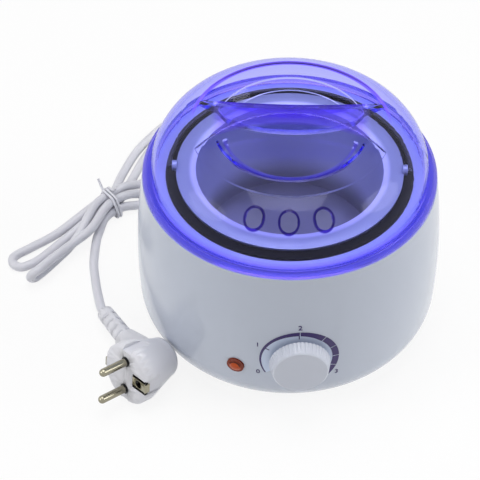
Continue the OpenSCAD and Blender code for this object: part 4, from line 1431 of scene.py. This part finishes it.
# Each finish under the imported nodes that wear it
NODE_FINISHES: dict[str, Finish | LidFinish] = {
    "housing": HousingFinish("housing_white", (0.52, 0.565, 0.665), 0.22, coat=0.35, shift=0.03, scuffs=0.08),
    "base_plate": Finish("base_grey", (0.56, 0.56, 0.6), 0.5, grain=1600.0, relief=0.00005),
    "base_screws small_screws thermal_fuse thermostat_nut thermostat_shaft": Finish(
        "zinc_steel", (0.58, 0.58, 0.6), 0.34, Effect.DRAWN, metallic=1.0, grain=700.0
    ),
    "feet": Finish("foot_rubber", (0.018, 0.018, 0.02), 0.72, grain=2200.0, relief=0.00006),
    "collar": Finish(
        "collar_black", (0.004, 0.004, 0.005), 0.55, grain=1500.0, relief=0.00003, specular=0.06
    ),
    "heater_bowl": Finish(
        "bowl_aluminium", (0.62, 0.62, 0.64), 0.36, Effect.SPUN, metallic=1.0, grain=1400.0
    ),
    "heater_band": Finish("mica_sheet", (0.28, 0.17, 0.07), 0.55, shift=0.6, grain=500.0),
    "insulation_jacket": Finish(
        "glass_fibre", (0.62, 0.57, 0.42), 0.85, Effect.WOVEN, grain=2600.0, relief=0.0002, shift=0.3
    ),
    "fuse_clip": Finish("clip_brass", (0.6, 0.38, 0.11), 0.32, Effect.DRAWN, metallic=1.0),
    "thermostat terminal_block cord_clamp": Finish("switch_ivory", (0.7, 0.64, 0.5), 0.48, grain=1300.0),
    "knob": Finish("knob_white", (0.6, 0.63, 0.72), 0.3, coat=0.15, grain=1800.0, relief=0.00003),
    "lamp_lens": LensFinish("lamp_orange", (0.5, 0.075, 0.012), 0.24, specular=0.25, mask=LAMP),
    "lamp_nut": Finish("lamp_nut_black", (0.02, 0.02, 0.022), 0.5),
    "lamp_bulb": Finish("bulb_glass", (0.8, 0.42, 0.2), 0.12, coat=0.6),
    "cord_gland inner_lead": CORD_WHITE,
    "pot": PotFinish(
        "pot_aluminium", (0.8, 0.83, 0.92), 0.34, Effect.SPUN, metallic=0.6, grain=1100.0, spread=0.14
    ),
    "bail": Finish("bail_wire", (0.05, 0.05, 0.055), 0.35, Effect.DRAWN, metallic=0.9),
    "lid": LidFinish(),
    "plug_pins": PinFinish("pin_nickel", (0.31, 0.29, 0.22), 0.22, Effect.DRAWN, mask=PlugPlace().masks()[0]),
}


def dress_nodes() -> None:
    """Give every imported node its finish."""
    for nodes, finish in NODE_FINISHES.items():
        material = finish.make()
        for node in nodes.split():
            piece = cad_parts[node]
            piece.data.materials.clear()
            piece.data.materials.append(material)
            LOG.info("dressed %s with %s", node, finish.name)


@dataclass(frozen=True)
class Studio:
    """Floor, world, lamps and camera."""

    floor_half: float = 4.0
    floor_tone: Rgb = (0.9, 0.9, 0.9)
    floor_rough: float = 0.9
    floor_glow: float = 0.88
    camera_at: Spot = (-0.07316, -0.78866, 0.84652)
    camera_way: Spot = (0.04035, 0.70492, -0.70814)
    lens: float = 144.0
    sensor: float = 36.0
    ambient: float = 0.24
    lamps: tuple[tuple[str, Spot, float, float], ...] = (
        ("left_box", (-1.3, -0.35, 0.75), 0.9, 6.5),
        ("right_box", (1.3, -0.25, 0.85), 0.9, 8.5),
        ("top_box", (0.0, 0.15, 1.7), 1.3, 16.0),
    )
    lamp_aim: Spot = (0.0, 0.0, 0.08)

    @staticmethod
    def seen(graph: Graph) -> Socket:
        """Return 1 for rays that show the background: camera, glossy and transmission rays."""
        path = graph.put("ShaderNodeLightPath").outputs
        return graph.either(path["Is Camera Ray"], path["Is Glossy Ray"], path["Is Transmission Ray"])

    @staticmethod
    def hang(name: str, data: bpy.types.ID, place: Spot, way: Vector) -> Piece:
        """Add a lamp or a camera.

        Args:
            name: its name.
            data: the lamp or the camera.
            place: where it hangs.
            way: where it looks.

        Returns:
            The new object.
        """
        piece = link_new(name, data)
        piece.location = place
        piece.rotation_euler = way.to_track_quat("-Z", "Y").to_euler()
        return piece

    def floor(self) -> None:
        """Lay the pale floor."""
        piece = add_piece("studio_floor", bpy.ops.mesh.primitive_plane_add, size=2 * self.floor_half)
        material, graph, shader = new_material("studio_floor")
        graph.feed(shader, {
            "Base Color": (*self.floor_tone, 1.0), "Roughness": self.floor_rough, "Specular IOR Level": 0.0,
        })
        glow = graph.put("ShaderNodeEmission", {"Color": (*WHITE, 1.0), "Strength": 1.0})
        share = graph.math("MULTIPLY", self.seen(graph), self.floor_glow)
        mixed = graph.put("ShaderNodeMixShader", {0: share, 1: shader.outputs[0], 2: glow.outputs[0]})
        graph.feed(material.node_tree.nodes["Material Output"], {"Surface": mixed.outputs[0]})
        piece.data.materials.append(material)

    def world(self) -> None:
        """Set a white background and a plain ambient light."""
        world = bpy.data.worlds.new("studio_world")
        bpy.context.scene.world = world
        world.use_nodes = True
        graph = Graph(world.node_tree)
        light = world.node_tree.nodes["Background"]
        graph.feed(light, {"Color": (*WHITE, 1.0), "Strength": self.ambient})
        white = graph.put("ShaderNodeBackground", {"Color": (*WHITE, 1.0), "Strength": 1.0})
        feeds = {0: self.seen(graph), 1: light.outputs[0], 2: white.outputs[0]}
        mixed = graph.put("ShaderNodeMixShader", feeds)
        graph.feed(world.node_tree.nodes["World Output"], {"Surface": mixed.outputs[0]})

    def light(self) -> None:
        """Hang the soft lamps, each aimed at the housing."""
        for name, place, size, power in self.lamps:
            data = bpy.data.lights.new(name, "AREA")
            data.shape = "DISK"
            data.size = size
            data.energy = power
            self.hang(name, data, place, Vector(self.lamp_aim) - Vector(place))

    def camera(self) -> None:
        """Set the camera at the photograph's place."""
        data = bpy.data.cameras.new("photo_camera")
        data.lens = self.lens
        data.sensor_width = self.sensor
        data.dof.use_dof = False
        bpy.context.scene.camera = self.hang("photo_camera", data, self.camera_at, Vector(self.camera_way))

    def build(self) -> None:
        """Set up the whole studio."""
        bpy.context.scene.view_settings.view_transform = "Standard"
        self.camera()
        self.world()
        self.light()
        self.floor()


def main() -> None:
    """Build every piece in order and report it."""
    logging.basicConfig(level=logging.INFO, format="%(name)s: %(message)s")
    Studio().build()
    plug = PlugFace().build(PLUG_WHITE, NICKEL)
    lead = MainsLead().build(CORD_WHITE, TIE_WHITE, plug)
    for piece in [*plug, *lead, *DialPrint().build(INK, PALE_FIELD)]:
        LOG.info("made %s", piece.name)
    dress_nodes()


if __name__ == "__main__":
    main()
